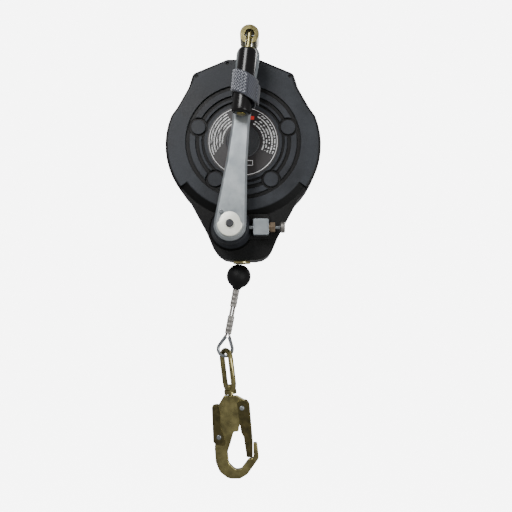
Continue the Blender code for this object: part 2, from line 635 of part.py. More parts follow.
# The thimble is a channel, open outwards, bent to a teardrop around the rope's loop.
thimblePath = []
for k in range(17):
    turn = math.radians(-118 + 236 * k / 16) + math.pi / 2
    thimblePath.append((-math.cos(turn), math.sin(turn), -9.4 * math.cos(turn),
        loopCentre + 9.4 * math.sin(turn)))
first, last = thimblePath[0], thimblePath[-1]
tip = (0.9, 120.5)
thimblePath = ([(first[0], first[1], -tip[0], tip[1])] + thimblePath + [(last[0], last[1], tip[0], tip[1])])
channel = [(-0.7, -2.6), (-0.7, 2.6), (0.2, 3.3), (3.4, 3.4), (3.4, 2.4), (0.3, 2.2), (0.3, -2.2), (3.4,
    -2.4), (3.4, -3.4), (0.2, -3.3)]
rings = []
for outX, outT, across, t in thimblePath:
    rings.append([onLine(t + outT * reach, across + outX * reach, y) for reach, y in channel])
finish("thimble", meshOf(*skinned(rings)), "line_end", galvanised)

# ---- bail and hook -------------------------------------------------------------------------------------------------
bailFlat = Vector((0, 1, 0)).cross(bailDown).normalized()
turnBail = math.radians(56)
bailSide = (bailFlat * math.cos(turnBail) + Vector((0, 1, 0)) * math.sin(turnBail)).normalized()
if bailSide.x < 0:
    bailSide = -bailSide
drop = (collarCentre - thimbleCentre).length
archRadius = 12.7


def onBail(side, down):
    return thimbleCentre + bailSide * side + bailDown * down


archTop = 7.3 - BAIL_WIRE - 0.9
bailPath = [onBail(archRadius * math.cos(a), archTop + archRadius - archRadius * math.sin(a))
            for a in (math.radians(180 * k / 14) for k in range(15))]
legs = drop - 14
bailPath += [onBail(-archRadius, legs - 4), onBail(-archRadius, legs), onBail(-archRadius + 1.6, legs + 6),
             onBail(-archRadius + 5.0, legs + 11.2), onBail(-4.9, drop)]
bailPath += [onBail(4.9, drop), onBail(archRadius - 5.0, legs + 11.2), onBail(archRadius - 1.6, legs + 6),
             onBail(archRadius, legs), onBail(archRadius, legs - 4)]
bail = finish("bail", meshOf(*swept(bailPath, BAIL_WIRE, 10, closed=True)), "bail", zincYellow)
bailFrame = frameOf(thimbleCentre, bailFlat, (0, 1, 0), bailDown)
cut(bail, rod(9.8, drop - 3.2, drop + 3.2, bailFrame, 28), "collar_add", "UNION")
cut(bail, rod(8.2, drop - 15.0, drop - 3.199, bailFrame, 24), "stud_head_room")
cut(bail, rod(4.5, drop - 8, drop + 8, bailFrame, 24), "collar_bore")
finish("swivel_stud", meshOf(*turned(
    [(0, drop - 11.5), (5.5, drop - 11.5), (7.4, drop - 9.5), (7.4, drop - 3.6), (4.1, drop - 3.6),
        (4.1, drop + 12),
     (0, drop + 12)], bailFrame, 24)), "hook", plainSteel)

# The top edge stands a clearance below the bail's wire at every turn of the swivel.
HOOK_TOP = -395.8
hookLoop = rounded([
    (-30.4, HOOK_TOP, 3), (-9.6, HOOK_TOP, 3), (2.6, -402.5, 6), (6.0, -413.5, 5), (4.2, -421.0, 5),
    (-6.2, -443.0, 3), (-7.2, -450.6, 2.4), (-15.0, -451.4, 3), (-19.4, -467.5, 5), (-24.2, -482.0, 6),
    (-22.4, -499.5, 6), (-11.8, -509.4, 6), (-2.6, -508.0, 6), (8.4, -493.5, 4), (16.0, -491.0, 3),
    (15.7, -468.6, 2.2), (22.0, -468.4, 2.6), (24.6, -491.5, 8), (6.8, -516.0, 9), (-4.8, -523.0, 8),
    (-22.5, -523.0, 12), (-36.5, -512.5, 10), (-42.8, -497.5, 8), (-44.6, -476.0, 4), (-43.2, -459.0, 4),
    (-41.8, -415.0, 4)], 3)
hookRings = []
for height, shrink in ((-HOOK_THICKNESS / 2, 1.2), (-HOOK_THICKNESS / 2 + 1.2, 0),
                       (HOOK_THICKNESS / 2 - 1.2, 0), (HOOK_THICKNESS / 2, 1.2)):
    hookRings.append(ring3(inset(hookLoop, shrink), upright, height))
hookBody = finish("hook_body", meshOf(*skinned(hookRings)), "hook", zincYellow)
cut(hookBody, joined(rod(4.4, drop - 10, drop + 13, bailFrame, 18),
                     rod(2.6, -9, 9, alongY(gatePivot.x, gatePivot.z), 14),
                     rod(2.6, -9, 9, alongY(leverPivot.x, leverPivot.z), 14)), "hook_holes")

flank = HOOK_THICKNESS / 2 + GAP
sheet = 1.4


def channelPiece(name, owner, loop, web, pivot):
    """A stamped channel: two flanks and the web that joins them, with the rivet's holes."""
    thing = finish(name, meshOf(*slab([loop], upright, -flank - sheet, flank + sheet)), owner, zincYellow)
    cut(thing, slab([web], upright, -flank, flank), name + "_hollow")
    cut(thing, rod(2.6, -12, 12, alongY(pivot.x, pivot.z), 16), name + "_rivet_hole")
    return thing


gateLoop = rounded([(-10.2, -403.2, 4), (5.4, -402.2, 5), (9.6, -408.0, 5), (10.6, -416.0, 5), (15.0,
    -467.5, 5),
                    (15.1, -489.6, 2), (5.6, -489.6, 2), (0.8, -458.5, 3), (-3.2, -451.5, 3), (-7.2,
                    -425.0, 4)], 2)
gateHollow = [(-40, -395), (3.5, -395), (8.1, -408), (9.1, -416.5), (13.5, -467.5), (13.6, -500), (-40, -500)]
channelPiece("gate", "gate", gateLoop, gateHollow, gatePivot)
leverLoop = rounded([(-49.2, -411.2, 3), (-38.0, -408.6, 4), (-35.8, -421.5, 4), (-34.4, -444.5, 5),
    (-27.4, -464.6, 4),
                     (-28.0, -472.6, 3), (-42.0, -470.4, 3), (-46.6, -466.6, 3)], 2)
leverHollow = [(-47.8, -400), (-47.8, -412), (-44.7, -466), (-44.7, -480), (0, -480), (0, -400)]
channelPiece("lock_lever", "lock_lever", leverLoop, leverHollow, leverPivot)
for name, pivot in (("gate_rivet", gatePivot), ("lever_rivet", leverPivot)):
    reach = flank + sheet + GAP
    finish(name, meshOf(*turned(
        [(0, -reach - 1.3), (2.6, -reach - 1.3), (4.1, -reach), (2.3, -reach), (2.3, reach), (4.1, reach),
         (2.6, reach + 1.3), (0, reach + 1.3)], alongY(pivot.x, pivot.z), 16)), "hook", plainSteel)

# ---- crank ---------------------------------------------------------------------------------------------------------
hubLine = alongY(HUB_X, HUB_Z)
armFrame = frameOf(hub, armAcross, armUp, (0, 1, 0))
finish("shift_sleeve", meshOf(*turned(
    [(SHAFT_RADIUS + GAP, ARM_HUB_REAR + GAP), (SLEEVE_RADIUS, ARM_HUB_REAR + GAP), (SLEEVE_RADIUS, BOSS_RIM - 0.4),
     (9.6, BOSS_RIM - 0.4), (9.6, BOSS_RIM + 16.4), (SLEEVE_RADIUS, BOSS_RIM + 16.4), (SLEEVE_RADIUS, -29.8), (SHAFT_RADIUS + GAP, -29.8)],
    hubLine, 28)), "shift_sleeve", plainSteel)
pinionShaft = finish("pinion_shaft", meshOf(*turned(
    [(0, ARM_FRONT + 0.6), (SHAFT_RADIUS, ARM_FRONT + 0.6), (SHAFT_RADIUS, -21.5), (0, -21.5)], hubLine, 24)),
    "crank", plainSteel)
cut(pinionShaft, slab([gearOutline(PINION_TEETH, towards + math.pi + math.pi / PINION_TEETH)], hubLine,
    -29.5, -22.5),
    "pinion_add", "UNION")

armSide = [(23.5, 6), (20.5, 40), (15.4, 95), (13.0, 150), (14.4, 205), (17.2, 240)]
armLoop = [(24.2 * math.cos(a),
    24.2 * math.sin(a)) for a in (math.radians(-165 + 150 * k / 12) for k in range(13))]
armLoop += armSide
armLoop += [(17.4 * math.cos(a),
    253.0 + 17.4 * math.sin(a)) for a in (math.radians(8 + 164 * k / 12) for k in range(13))]
armLoop += [(-x, a) for x, a in reversed(armSide)]
armRings = [ring3(inset(armLoop, 3.0), armFrame, ARM_FRONT), ring3(armLoop, armFrame, ARM_FRONT + 3.0),
            ring3(armLoop, armFrame, ARM_REAR - 1.5), ring3(inset(armLoop, 1.5), armFrame, ARM_REAR)]
arm = finish("crank_arm", meshOf(*skinned(armRings)), "crank", castAlloy)
cut(arm, rod(22.6, ARM_HUB_REAR, ARM_REAR - 4, hubLine, 32), "arm_hub_add", "UNION")
cut(arm, rod(SHAFT_RADIUS + 0.1, ARM_FRONT - 4, ARM_HUB_REAR + 4, hubLine, 24), "arm_bore")
socketLine = frameOf(foldCentre - Vector((0, FOLD_Y, 0)), armAcross, armUp, (0, 1, 0))
cut(arm, rod(SOCKET_RADIUS + 0.2, ARM_FRONT - 4, ARM_REAR + 4, socketLine, 36), "socket_notch")
hubDisc = [(18.3 * math.cos(a), 18.3 * math.sin(a)) for a in (math.radians(-180 + 15 * k) for k in range(13))]
hubDisc += [(15.4 * math.cos(a),
    2 + 15.4 * math.sin(a)) for a in (math.radians(0 + 15 * k) for k in range(13))]
finish("hub_disc", meshOf(*slab([hubDisc, circle(4.3, 16)], hubLine, ARM_FRONT - 9.5, ARM_FRONT - GAP)),
    "crank", castAlloy)
finish("hub_screw", meshOf(*turned(
    [(0, ARM_FRONT - 14), (4.8, ARM_FRONT - 14), (5.8, ARM_FRONT - 13), (5.8, ARM_FRONT - 9.8),
     (4.0, ARM_FRONT - 9.8), (4.0, ARM_FRONT + 0.3), (0, ARM_FRONT + 0.3)],
    hubLine, 20)), "crank", darkSteel)
finish("hub_pin", meshOf(*rod(3.3, ARM_FRONT - 2.0, ARM_FRONT - 0.2, alongY(HUB_X - 12.5, HUB_Z + 17.5), 14)),
    "crank", plainSteel)

# ---- folding grip --------------------------------------------------------------------------------------------------
slot = 4.6
startAngle = math.asin(slot / SOCKET_RADIUS)
ringAngles = [math.radians(-90) + startAngle + (2 * math.pi - 2 * startAngle) * k / 32 for k in range(33)]
boreStart = math.asin(slot / SOCKET_BORE)
boreAngles = [math.radians(-90) + boreStart + (2 * math.pi - 2 * boreStart) * k / 24 for k in range(25)]
socketLoop = [(SOCKET_RADIUS * math.cos(a), SOCKET_RADIUS * math.sin(a)) for a in ringAngles]
socketLoop += [(SOCKET_BORE * math.cos(a), SOCKET_BORE * math.sin(a)) for a in reversed(boreAngles)]
socket = finish("grip_socket", meshOf(*slab([socketLoop], socketLine, -118.0, ARM_REAR - 1.0)), "crank",
    zincYellow)
pinFrame = frameOf(foldCentre, (0, 1, 0), armUp, armAcross)
cut(socket, rod(2.2, -18, 18, pinFrame, 14), "pin_hole")
finish("socket_pin", meshOf(*rod(2.0, -13.6, 13.6, pinFrame, 14)), "crank", plainSteel)

gripFrame = frameOf(foldCentre, armAcross, (0, 1, 0), -armUp)
gripEnd = GRIP_START + GRIP_LENGTH
spindle = finish("grip_spindle", meshOf(*turned(
    [(0, -5.5), (3.8, -4.4), (4.2, -2.0), (4.2, GRIP_START - 2.3), (8.6, GRIP_START - 2.3),
     (8.6, GRIP_START - 0.4), (4.0, GRIP_START - 0.4),
     (4.0, gripEnd + 0.6), (7.0, gripEnd + 0.6), (5.4, gripEnd + 2.6), (0, gripEnd + 3.0)], gripFrame, 20)),
    "grip_fold", plainSteel)
cut(spindle, rod(2.3, -18, 18, pinFrame, 14), "spindle_pin_hole")
finish("grip", meshOf(*turned(
    [(4.3, GRIP_START), (GRIP_RADIUS - 2.5, GRIP_START), (GRIP_RADIUS, GRIP_START + 3),
        (GRIP_RADIUS + 1.7, gripEnd - 4),
     (GRIP_RADIUS + 0.5, gripEnd),
     (4.3, gripEnd)], gripFrame, 28)), "grip", gripPlastic)

# The strap is drawn square across the arm and then slanted, so its side runs stay flat against the arm and the grip.
strapSlant = math.tan(math.radians(-20))
strapInside = []
for k in range(11):
    a = math.radians(180 + 180 * k / 10)
    strapInside.append(((GRIP_RADIUS + 2.2) * math.cos(a), FOLD_Y + (GRIP_RADIUS + 2.0) * math.sin(a)))
strapSide = GRIP_RADIUS + 2.9
strapInside += [(strapSide, ARM_FRONT + 1), (strapSide, ARM_REAR - 0.6), (strapSide - 2.5, ARM_REAR + 1.8),
                (2.5 - strapSide, ARM_REAR + 1.8), (-strapSide, ARM_REAR - 0.6), (-strapSide, ARM_FRONT + 1)]
strapOutside = inset(strapInside, -1.7)
strapRings = []
for half, loop in ((-16.5, strapInside), (16.5, strapInside), (16.5, strapOutside), (-16.5, strapOutside)):
    strapRings.append([hub + armUp * (199.5 + half + a * strapSlant) + armAcross * a + Vector((0, y, 0))
                       for a, y in loop])
finish("grip_strap", meshOf(*skinned(strapRings, capped=False)), "crank", webbingCloth)
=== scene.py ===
import bpy
import json
import math
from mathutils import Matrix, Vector


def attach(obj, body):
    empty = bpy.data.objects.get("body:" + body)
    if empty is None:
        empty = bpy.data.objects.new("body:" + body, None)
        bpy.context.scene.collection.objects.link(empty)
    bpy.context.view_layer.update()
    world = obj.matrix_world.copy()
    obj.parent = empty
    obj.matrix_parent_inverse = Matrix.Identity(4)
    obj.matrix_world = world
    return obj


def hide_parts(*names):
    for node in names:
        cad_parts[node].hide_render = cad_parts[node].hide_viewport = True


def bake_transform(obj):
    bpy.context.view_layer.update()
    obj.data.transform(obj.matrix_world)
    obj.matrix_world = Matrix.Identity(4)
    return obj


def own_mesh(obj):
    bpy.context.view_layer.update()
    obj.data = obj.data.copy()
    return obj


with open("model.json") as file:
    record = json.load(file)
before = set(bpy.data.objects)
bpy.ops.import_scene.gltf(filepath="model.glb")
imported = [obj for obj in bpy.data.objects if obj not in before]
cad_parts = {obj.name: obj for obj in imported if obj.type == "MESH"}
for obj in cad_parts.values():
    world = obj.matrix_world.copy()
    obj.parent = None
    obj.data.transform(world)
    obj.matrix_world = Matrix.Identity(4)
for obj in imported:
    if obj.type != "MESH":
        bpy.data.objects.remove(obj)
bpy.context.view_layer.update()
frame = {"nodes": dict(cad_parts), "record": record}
bodyOf = {node: body for body, nodes in frame["record"]["behaviour"]["bodies"].items() for node in nodes}
mm = 0.001
drumZ = -167.0  # height of the drum's centre below the bearing point of the eye, in mm

# the camera stands a metre in front, level with the thimble, and is tipped up a little
view = {"place": (0.0200, -0.9980, -0.4122), "tip": 4.0, "lens": 43.95}
bpy.ops.object.select_all(action="DESELECT")
bpy.ops.object.camera_add(location=view["place"], rotation=(math.radians(90 + view["tip"]), 0, 0))
camera = bpy.context.object
camera.name = "frontCamera"
camera.data.lens = view["lens"]
camera.data.sensor_width = 36
camera.data.clip_end = 50
bpy.context.scene.camera = camera
print("camera placed")


def at(x, y, z):
    return Vector((x, y, z + drumZ)) * mm


# lines that the pieces are hung from, in mm from the drum's centre
crank = {"hub": (-18.0, -135.3), "lean": 5.95, "length": 275.8, "foldY": -111.0}
lean = math.radians(crank["lean"])
armUp = Vector((math.sin(lean), 0, math.cos(lean)))
armAcross = Vector((math.cos(lean), 0, -math.sin(lean)))
hub = Vector((crank["hub"][0], 0, crank["hub"][1]))
fold = hub + armUp * crank["length"] + Vector((0, crank["foldY"], 0))
line = {"start": (-3.6, -186.0), "lean": 10.4, "rope": 2.0, "thimble": 139.2}
lineDown = Vector((-math.sin(math.radians(line["lean"])), 0, -math.cos(math.radians(line["lean"]))))
lineAcross = Vector((math.cos(math.radians(line["lean"])), 0, -math.sin(math.radians(line["lean"]))))
lineStart = Vector((line["start"][0], 0, line["start"][1]))
thimbleCentre = lineStart + lineDown * line["thimble"]
collar = Vector((-20.4, 0, -390.0))


def placed(p):
    return at(p.x, p.y, p.z)


def onLine(t, across=0.0, y=0.0):
    return lineStart + lineDown * t + lineAcross * across + Vector((0, y, 0))


# finishes
def hexColour(code):
    parts = [int(code[i:i + 2], 16) / 255 for i in (0, 2, 4)]
    return (*[c / 12.92 if c <= 0.04045 else ((c + 0.055) / 1.055) ** 2.4 for c in parts], 1)


def addNode(tree, kind, settings=None, links=None):
    node = tree.nodes.new("ShaderNode" + kind)
    for key, value in (settings or {}).items():
        if isinstance(key, str) and hasattr(node, key):
            setattr(node, key, value)
        else:
            node.inputs[key].default_value = value
    for key, source in (links or {}).items():
        tree.links.new(source, node.inputs[key])
    return node


def newFinish(name, colour, metallic, roughness, settings=None):
    finish = bpy.data.materials.new(name)
    finish.use_nodes = True
    shader = finish.node_tree.nodes["Principled BSDF"]
    shader.inputs["Base Color"].default_value = hexColour(colour)
    shader.inputs["Metallic"].default_value = metallic
    shader.inputs["Roughness"].default_value = roughness
    for key, value in (settings or {}).items():
        shader.inputs[key].default_value = value
    return finish, finish.node_tree, shader


def grained(name, look):
    finish, tree, shader = newFinish(name, look["colour"], look["metallic"], look["rough"][0],
                                     look.get("shader"))
    place = addNode(tree, "TexCoord")
    size = addNode(tree, "Mapping", {"Scale": look.get("stretch", (1, 1, 1))},
                   {"Vector": place.outputs["Object"]})
    grain = addNode(tree, "TexNoise", {"Scale": 1000 / look["grain"], "Detail": 3.0, "Roughness": 0.55},
                    {"Vector": size.outputs["Vector"]})
    cloud = addNode(tree, "TexNoise", {"Scale": 1000 / look["cloud"], "Detail": 5.0, "Roughness": 0.6},
                    {"Vector": place.outputs["Object"]})
    tint = addNode(tree, "ValToRGB", None, {"Fac": cloud.outputs["Fac"]})
    tint.color_ramp.elements[0].position, tint.color_ramp.elements[1].position = 0.36, 0.66
    tint.color_ramp.elements[0].color = hexColour(look["colour"])
    tint.color_ramp.elements[1].color = hexColour(look["second"])
    shade = addNode(tree, "MapRange", {"From Min": 0.3, "From Max": 0.7, "To Min": look.get("dark", 0.9),
                                       "To Max": 1.05}, {"Value": grain.outputs["Fac"]})
    mixed = addNode(tree, "VectorMath", {"operation": "SCALE"},
                    {0: tint.outputs["Color"], "Scale": shade.outputs["Result"]})
    colour = mixed.outputs["Vector"]
    if "paintedRecessShade" in look:  # painted shade: behind the front face the coat turns near black, standing in for the shade in the grooves and the set-back lower body
        depth = addNode(tree, "SeparateXYZ", None, {"Vector": place.outputs["Object"]})
        span = {"From Min": look["paintedRecessShade"]["from"] * mm, "From Max": look["paintedRecessShade"]["to"] * mm}
        share = addNode(tree, "MapRange", span, {"Value": depth.outputs["Y"]})
        recessShadeMix = addNode(tree, "MixRGB", {"Color2": hexColour(look["paintedRecessShade"]["colour"])},
                        {"Fac": share.outputs["Result"], "Color1": colour})
        colour = recessShadeMix.outputs["Color"]
    if "edge" in look:  # painted highlight on the edges: a pale colour laid where a rounded normal leaves the true one, standing in for light caught on the chamfers
        flat = addNode(tree, "NewGeometry")
        rounded = addNode(tree, "Bevel", {"samples": 6, "Radius": look["edge"]["reach"] * mm})
        facing = addNode(tree, "VectorMath", {"operation": "DOT_PRODUCT"},
                         {0: rounded.outputs["Normal"], 1: flat.outputs["Normal"]})
        edgeHighlightMask = addNode(tree, "MapRange", {"From Min": 0.985, "From Max": 0.86},
                         {"Value": facing.outputs["Value"]})
        edgeHighlightMix = addNode(tree, "MixRGB", {"Color2": hexColour(look["edge"]["colour"])},
                       {"Fac": edgeHighlightMask.outputs["Result"], "Color1": colour})
        colour = edgeHighlightMix.outputs["Color"]
    tree.links.new(colour, shader.inputs["Base Color"])
    dull = addNode(tree, "MapRange", {"From Min": 0.3, "From Max": 0.7, "To Min": look["rough"][0],
                                      "To Max": look["rough"][1]}, {"Value": cloud.outputs["Fac"]})
    tree.links.new(dull.outputs["Result"], shader.inputs["Roughness"])
    bump = addNode(tree, "Bump", {"Strength": look.get("strength", 0.5), "Distance": look["depth"] * mm},
                   {"Height": grain.outputs["Fac"]})
    tree.links.new(bump.outputs["Normal"], shader.inputs["Normal"])
    return finish


# Powder coat on die-cast aluminium: fine orange peel about a millimetre across, dusty charcoal on the proud
# faces.
# Grooves and the set-back lower body get painted shade: near black, standing in for the shade that falls in
# them.
powderCoat = grained("powder coated die-cast aluminium", {
    "colour": "222428", "second": "33363b", "metallic": 0.0, "rough": (0.42, 0.55), "grain": 1.5, "cloud": 55,
    "depth": 0.22, "strength": 0.9, "dark": 0.72, "shader": {"Specular IOR Level": 0.22},
    "paintedRecessShade": {"from": -41.6, "to": -40.9, "colour": "020202"}})
# Tumbled and clear-coated cast aluminium: soft grey with faint mottling.
satinCast = grained("tumbled cast aluminium", {
    "colour": "949b9f", "second": "a9aeb0", "metallic": 0.85, "rough": (0.3, 0.4), "grain": 0.9, "cloud": 25,
    "depth": 0.05, "strength": 0.5, "dark": 0.93})
# Turned aluminium with a pale chromate film.
turnedDisc = grained("chromated turned aluminium", {
    "colour": "eceee0", "second": "f8faee", "metallic": 0.3, "rough": (0.3, 0.4), "grain": 0.5, "cloud": 12,
    "depth": 0.03, "dark": 0.95, "stretch": (1, 1, 1)})
# Forged steel with an olive-yellow zinc passivation, which drifts in hue over a few millimetres; its edges
# carry a painted highlight in pale gold.
zincOlive = grained("olive zinc passivated forged steel", {
    "colour": "6b6442", "second": "938a5c", "metallic": 0.92, "rough": (0.2, 0.34), "grain": 1.6, "cloud": 16,
    "depth": 0.05, "strength": 0.4, "dark": 0.86,
    "edge": {"reach": 0.7, "colour": "b5a85e"}})
# The stamped gate and lever took a darker, browner film than the forged hook, with a painted highlight in
# pale gold along their edges.
zincBrown = grained("dark zinc yellow stamped steel", {
    "colour": "3f3a22", "second": "544c2c", "metallic": 0.8, "rough": (0.34, 0.46), "grain": 0.8, "cloud": 9,
    "depth": 0.05, "dark": 0.85, "edge": {"reach": 0.8, "colour": "c0b264"}})
# Bright zinc plate on screws, rivets and pins: cool, smooth and even.
brightZinc = grained("bright zinc plated steel", {
    "colour": "84898c", "second": "a3a8aa", "metallic": 0.95, "rough": (0.2, 0.3), "grain": 0.8, "cloud": 18,
    "depth": 0.03, "dark": 0.92})
# Phosphated steel on the hub screw: dark and dull.
darkSteel = grained("phosphated steel", {
    "colour": "3c3d40", "second": "4a4b4d", "metallic": 0.7, "rough": (0.4, 0.5), "grain": 0.8, "cloud": 20,
    "depth": 0.04, "dark": 0.9})
# Hot-dip galvanised rope wire: dull grey with slight spangle.
galvanised = grained("galvanised steel wire", {
    "colour": "7d7a76", "second": "94918c", "metallic": 0.85, "rough": (0.34, 0.46), "grain": 0.7, "cloud": 9,
    "depth": 0.04, "dark": 0.85})
# Turned brass of the gland.
turnedBrass = grained("turned brass", {
    "colour": "a89a68", "second": "c8bc8c", "metallic": 0.95, "rough": (0.24, 0.34), "grain": 0.6,
    "cloud": 12, "depth": 0.02, "dark": 0.93})
# Bronze of the plunger nut, browned in the air.
brownBronze = grained("browned bronze", {
    "colour": "7a6a58", "second": "93826d", "metallic": 0.85, "rough": (0.3, 0.42), "grain": 0.7, "cloud": 8,
    "depth": 0.03, "dark": 0.9})
# Moulded rubber of the ball: matt, with a fine mould texture.
mouldedRubber = grained("moulded black rubber", {
    "colour": "060607", "second": "0b0b0c", "metallic": 0.0, "rough": (0.5, 0.62), "grain": 0.9, "cloud": 30,
    "depth": 0.06, "strength": 0.6, "dark": 0.9, "shader": {"Specular IOR Level": 0.22}})
# Polished moulded plastic of the grip: near black and glossy.
glossGrip = grained("polished moulded plastic", {
    "colour": "030203", "second": "070506", "metallic": 0.0, "rough": (0.2, 0.28), "grain": 2.5, "cloud": 40,
    "depth": 0.02, "strength": 0.4, "dark": 0.95, "shader": {"Specular IOR Level": 0.35}})
# Moulded nylon of the drum, inside.
paleNylon = grained("moulded nylon", {
    "colour": "bdbbb2", "second": "c8c6bc", "metallic": 0.0, "rough": (0.45, 0.55), "grain": 1.0, "cloud": 30,
    "depth": 0.03, "dark": 0.95})
# Pressed friction lining of the brake pad, inside.
liningFinish = grained("pressed friction lining", {
    "colour": "574c42", "second": "6b5e50", "metallic": 0.0, "rough": (0.8, 0.9), "grain": 0.8, "cloud": 6,
    "depth": 0.1, "dark": 0.7})
# Polyester sewing thread, paler than the webbing it holds.
stitchThread = grained("polyester sewing thread", {
    "colour": "b9bcc4", "second": "d2d5dc", "metallic": 0.0, "rough": (0.7, 0.8), "grain": 0.5, "cloud": 3,
    "depth": 0.1, "dark": 0.85, "shader": {"Sheen Weight": 0.3}})


def wovenFinish():
    # woven polyester webbing: ribs across the band 1.6 mm apart, coarser than the real 0.8 mm so they show
    finish, tree, shader = newFinish("woven polyester webbing", "3c3e47", 0.0, 0.85,
                                     {"Sheen Weight": 0.35, "Sheen Roughness": 0.5})
    uv = addNode(tree, "UVMap", {"uv_map": "bandUV"})
    ribs = addNode(tree, "TexWave", {"wave_type": "BANDS", "bands_direction": "X", "Scale": 314.0 / 1.6,
                                     "Distortion": 0.5, "Detail": 1.0, "Detail Scale": 4.0},
                   {"Vector": uv.outputs["UV"]})
    rows = addNode(tree, "TexWave", {"wave_type": "BANDS", "bands_direction": "DIAGONAL",
                                     "Scale": 314.0 / 2.4, "Distortion": 0.4}, {"Vector": uv.outputs["UV"]})
    height = addNode(tree, "Math", {"operation": "MULTIPLY"},
                     {0: ribs.outputs["Fac"], 1: rows.outputs["Fac"]})
    colour = addNode(tree, "ValToRGB", None, {"Fac": height.outputs["Value"]})
    colour.color_ramp.elements[0].color = hexColour("2c2e36")
    colour.color_ramp.elements[1].color = hexColour("50535d")
    tree.links.new(colour.outputs["Color"], shader.inputs["Base Color"])
    bump = addNode(tree, "Bump", {"Strength": 0.8, "Distance": 0.25 * mm},
                   {"Height": height.outputs["Value"]})
    tree.links.new(bump.outputs["Normal"], shader.inputs["Normal"])
    return finish


webbing = wovenFinish()


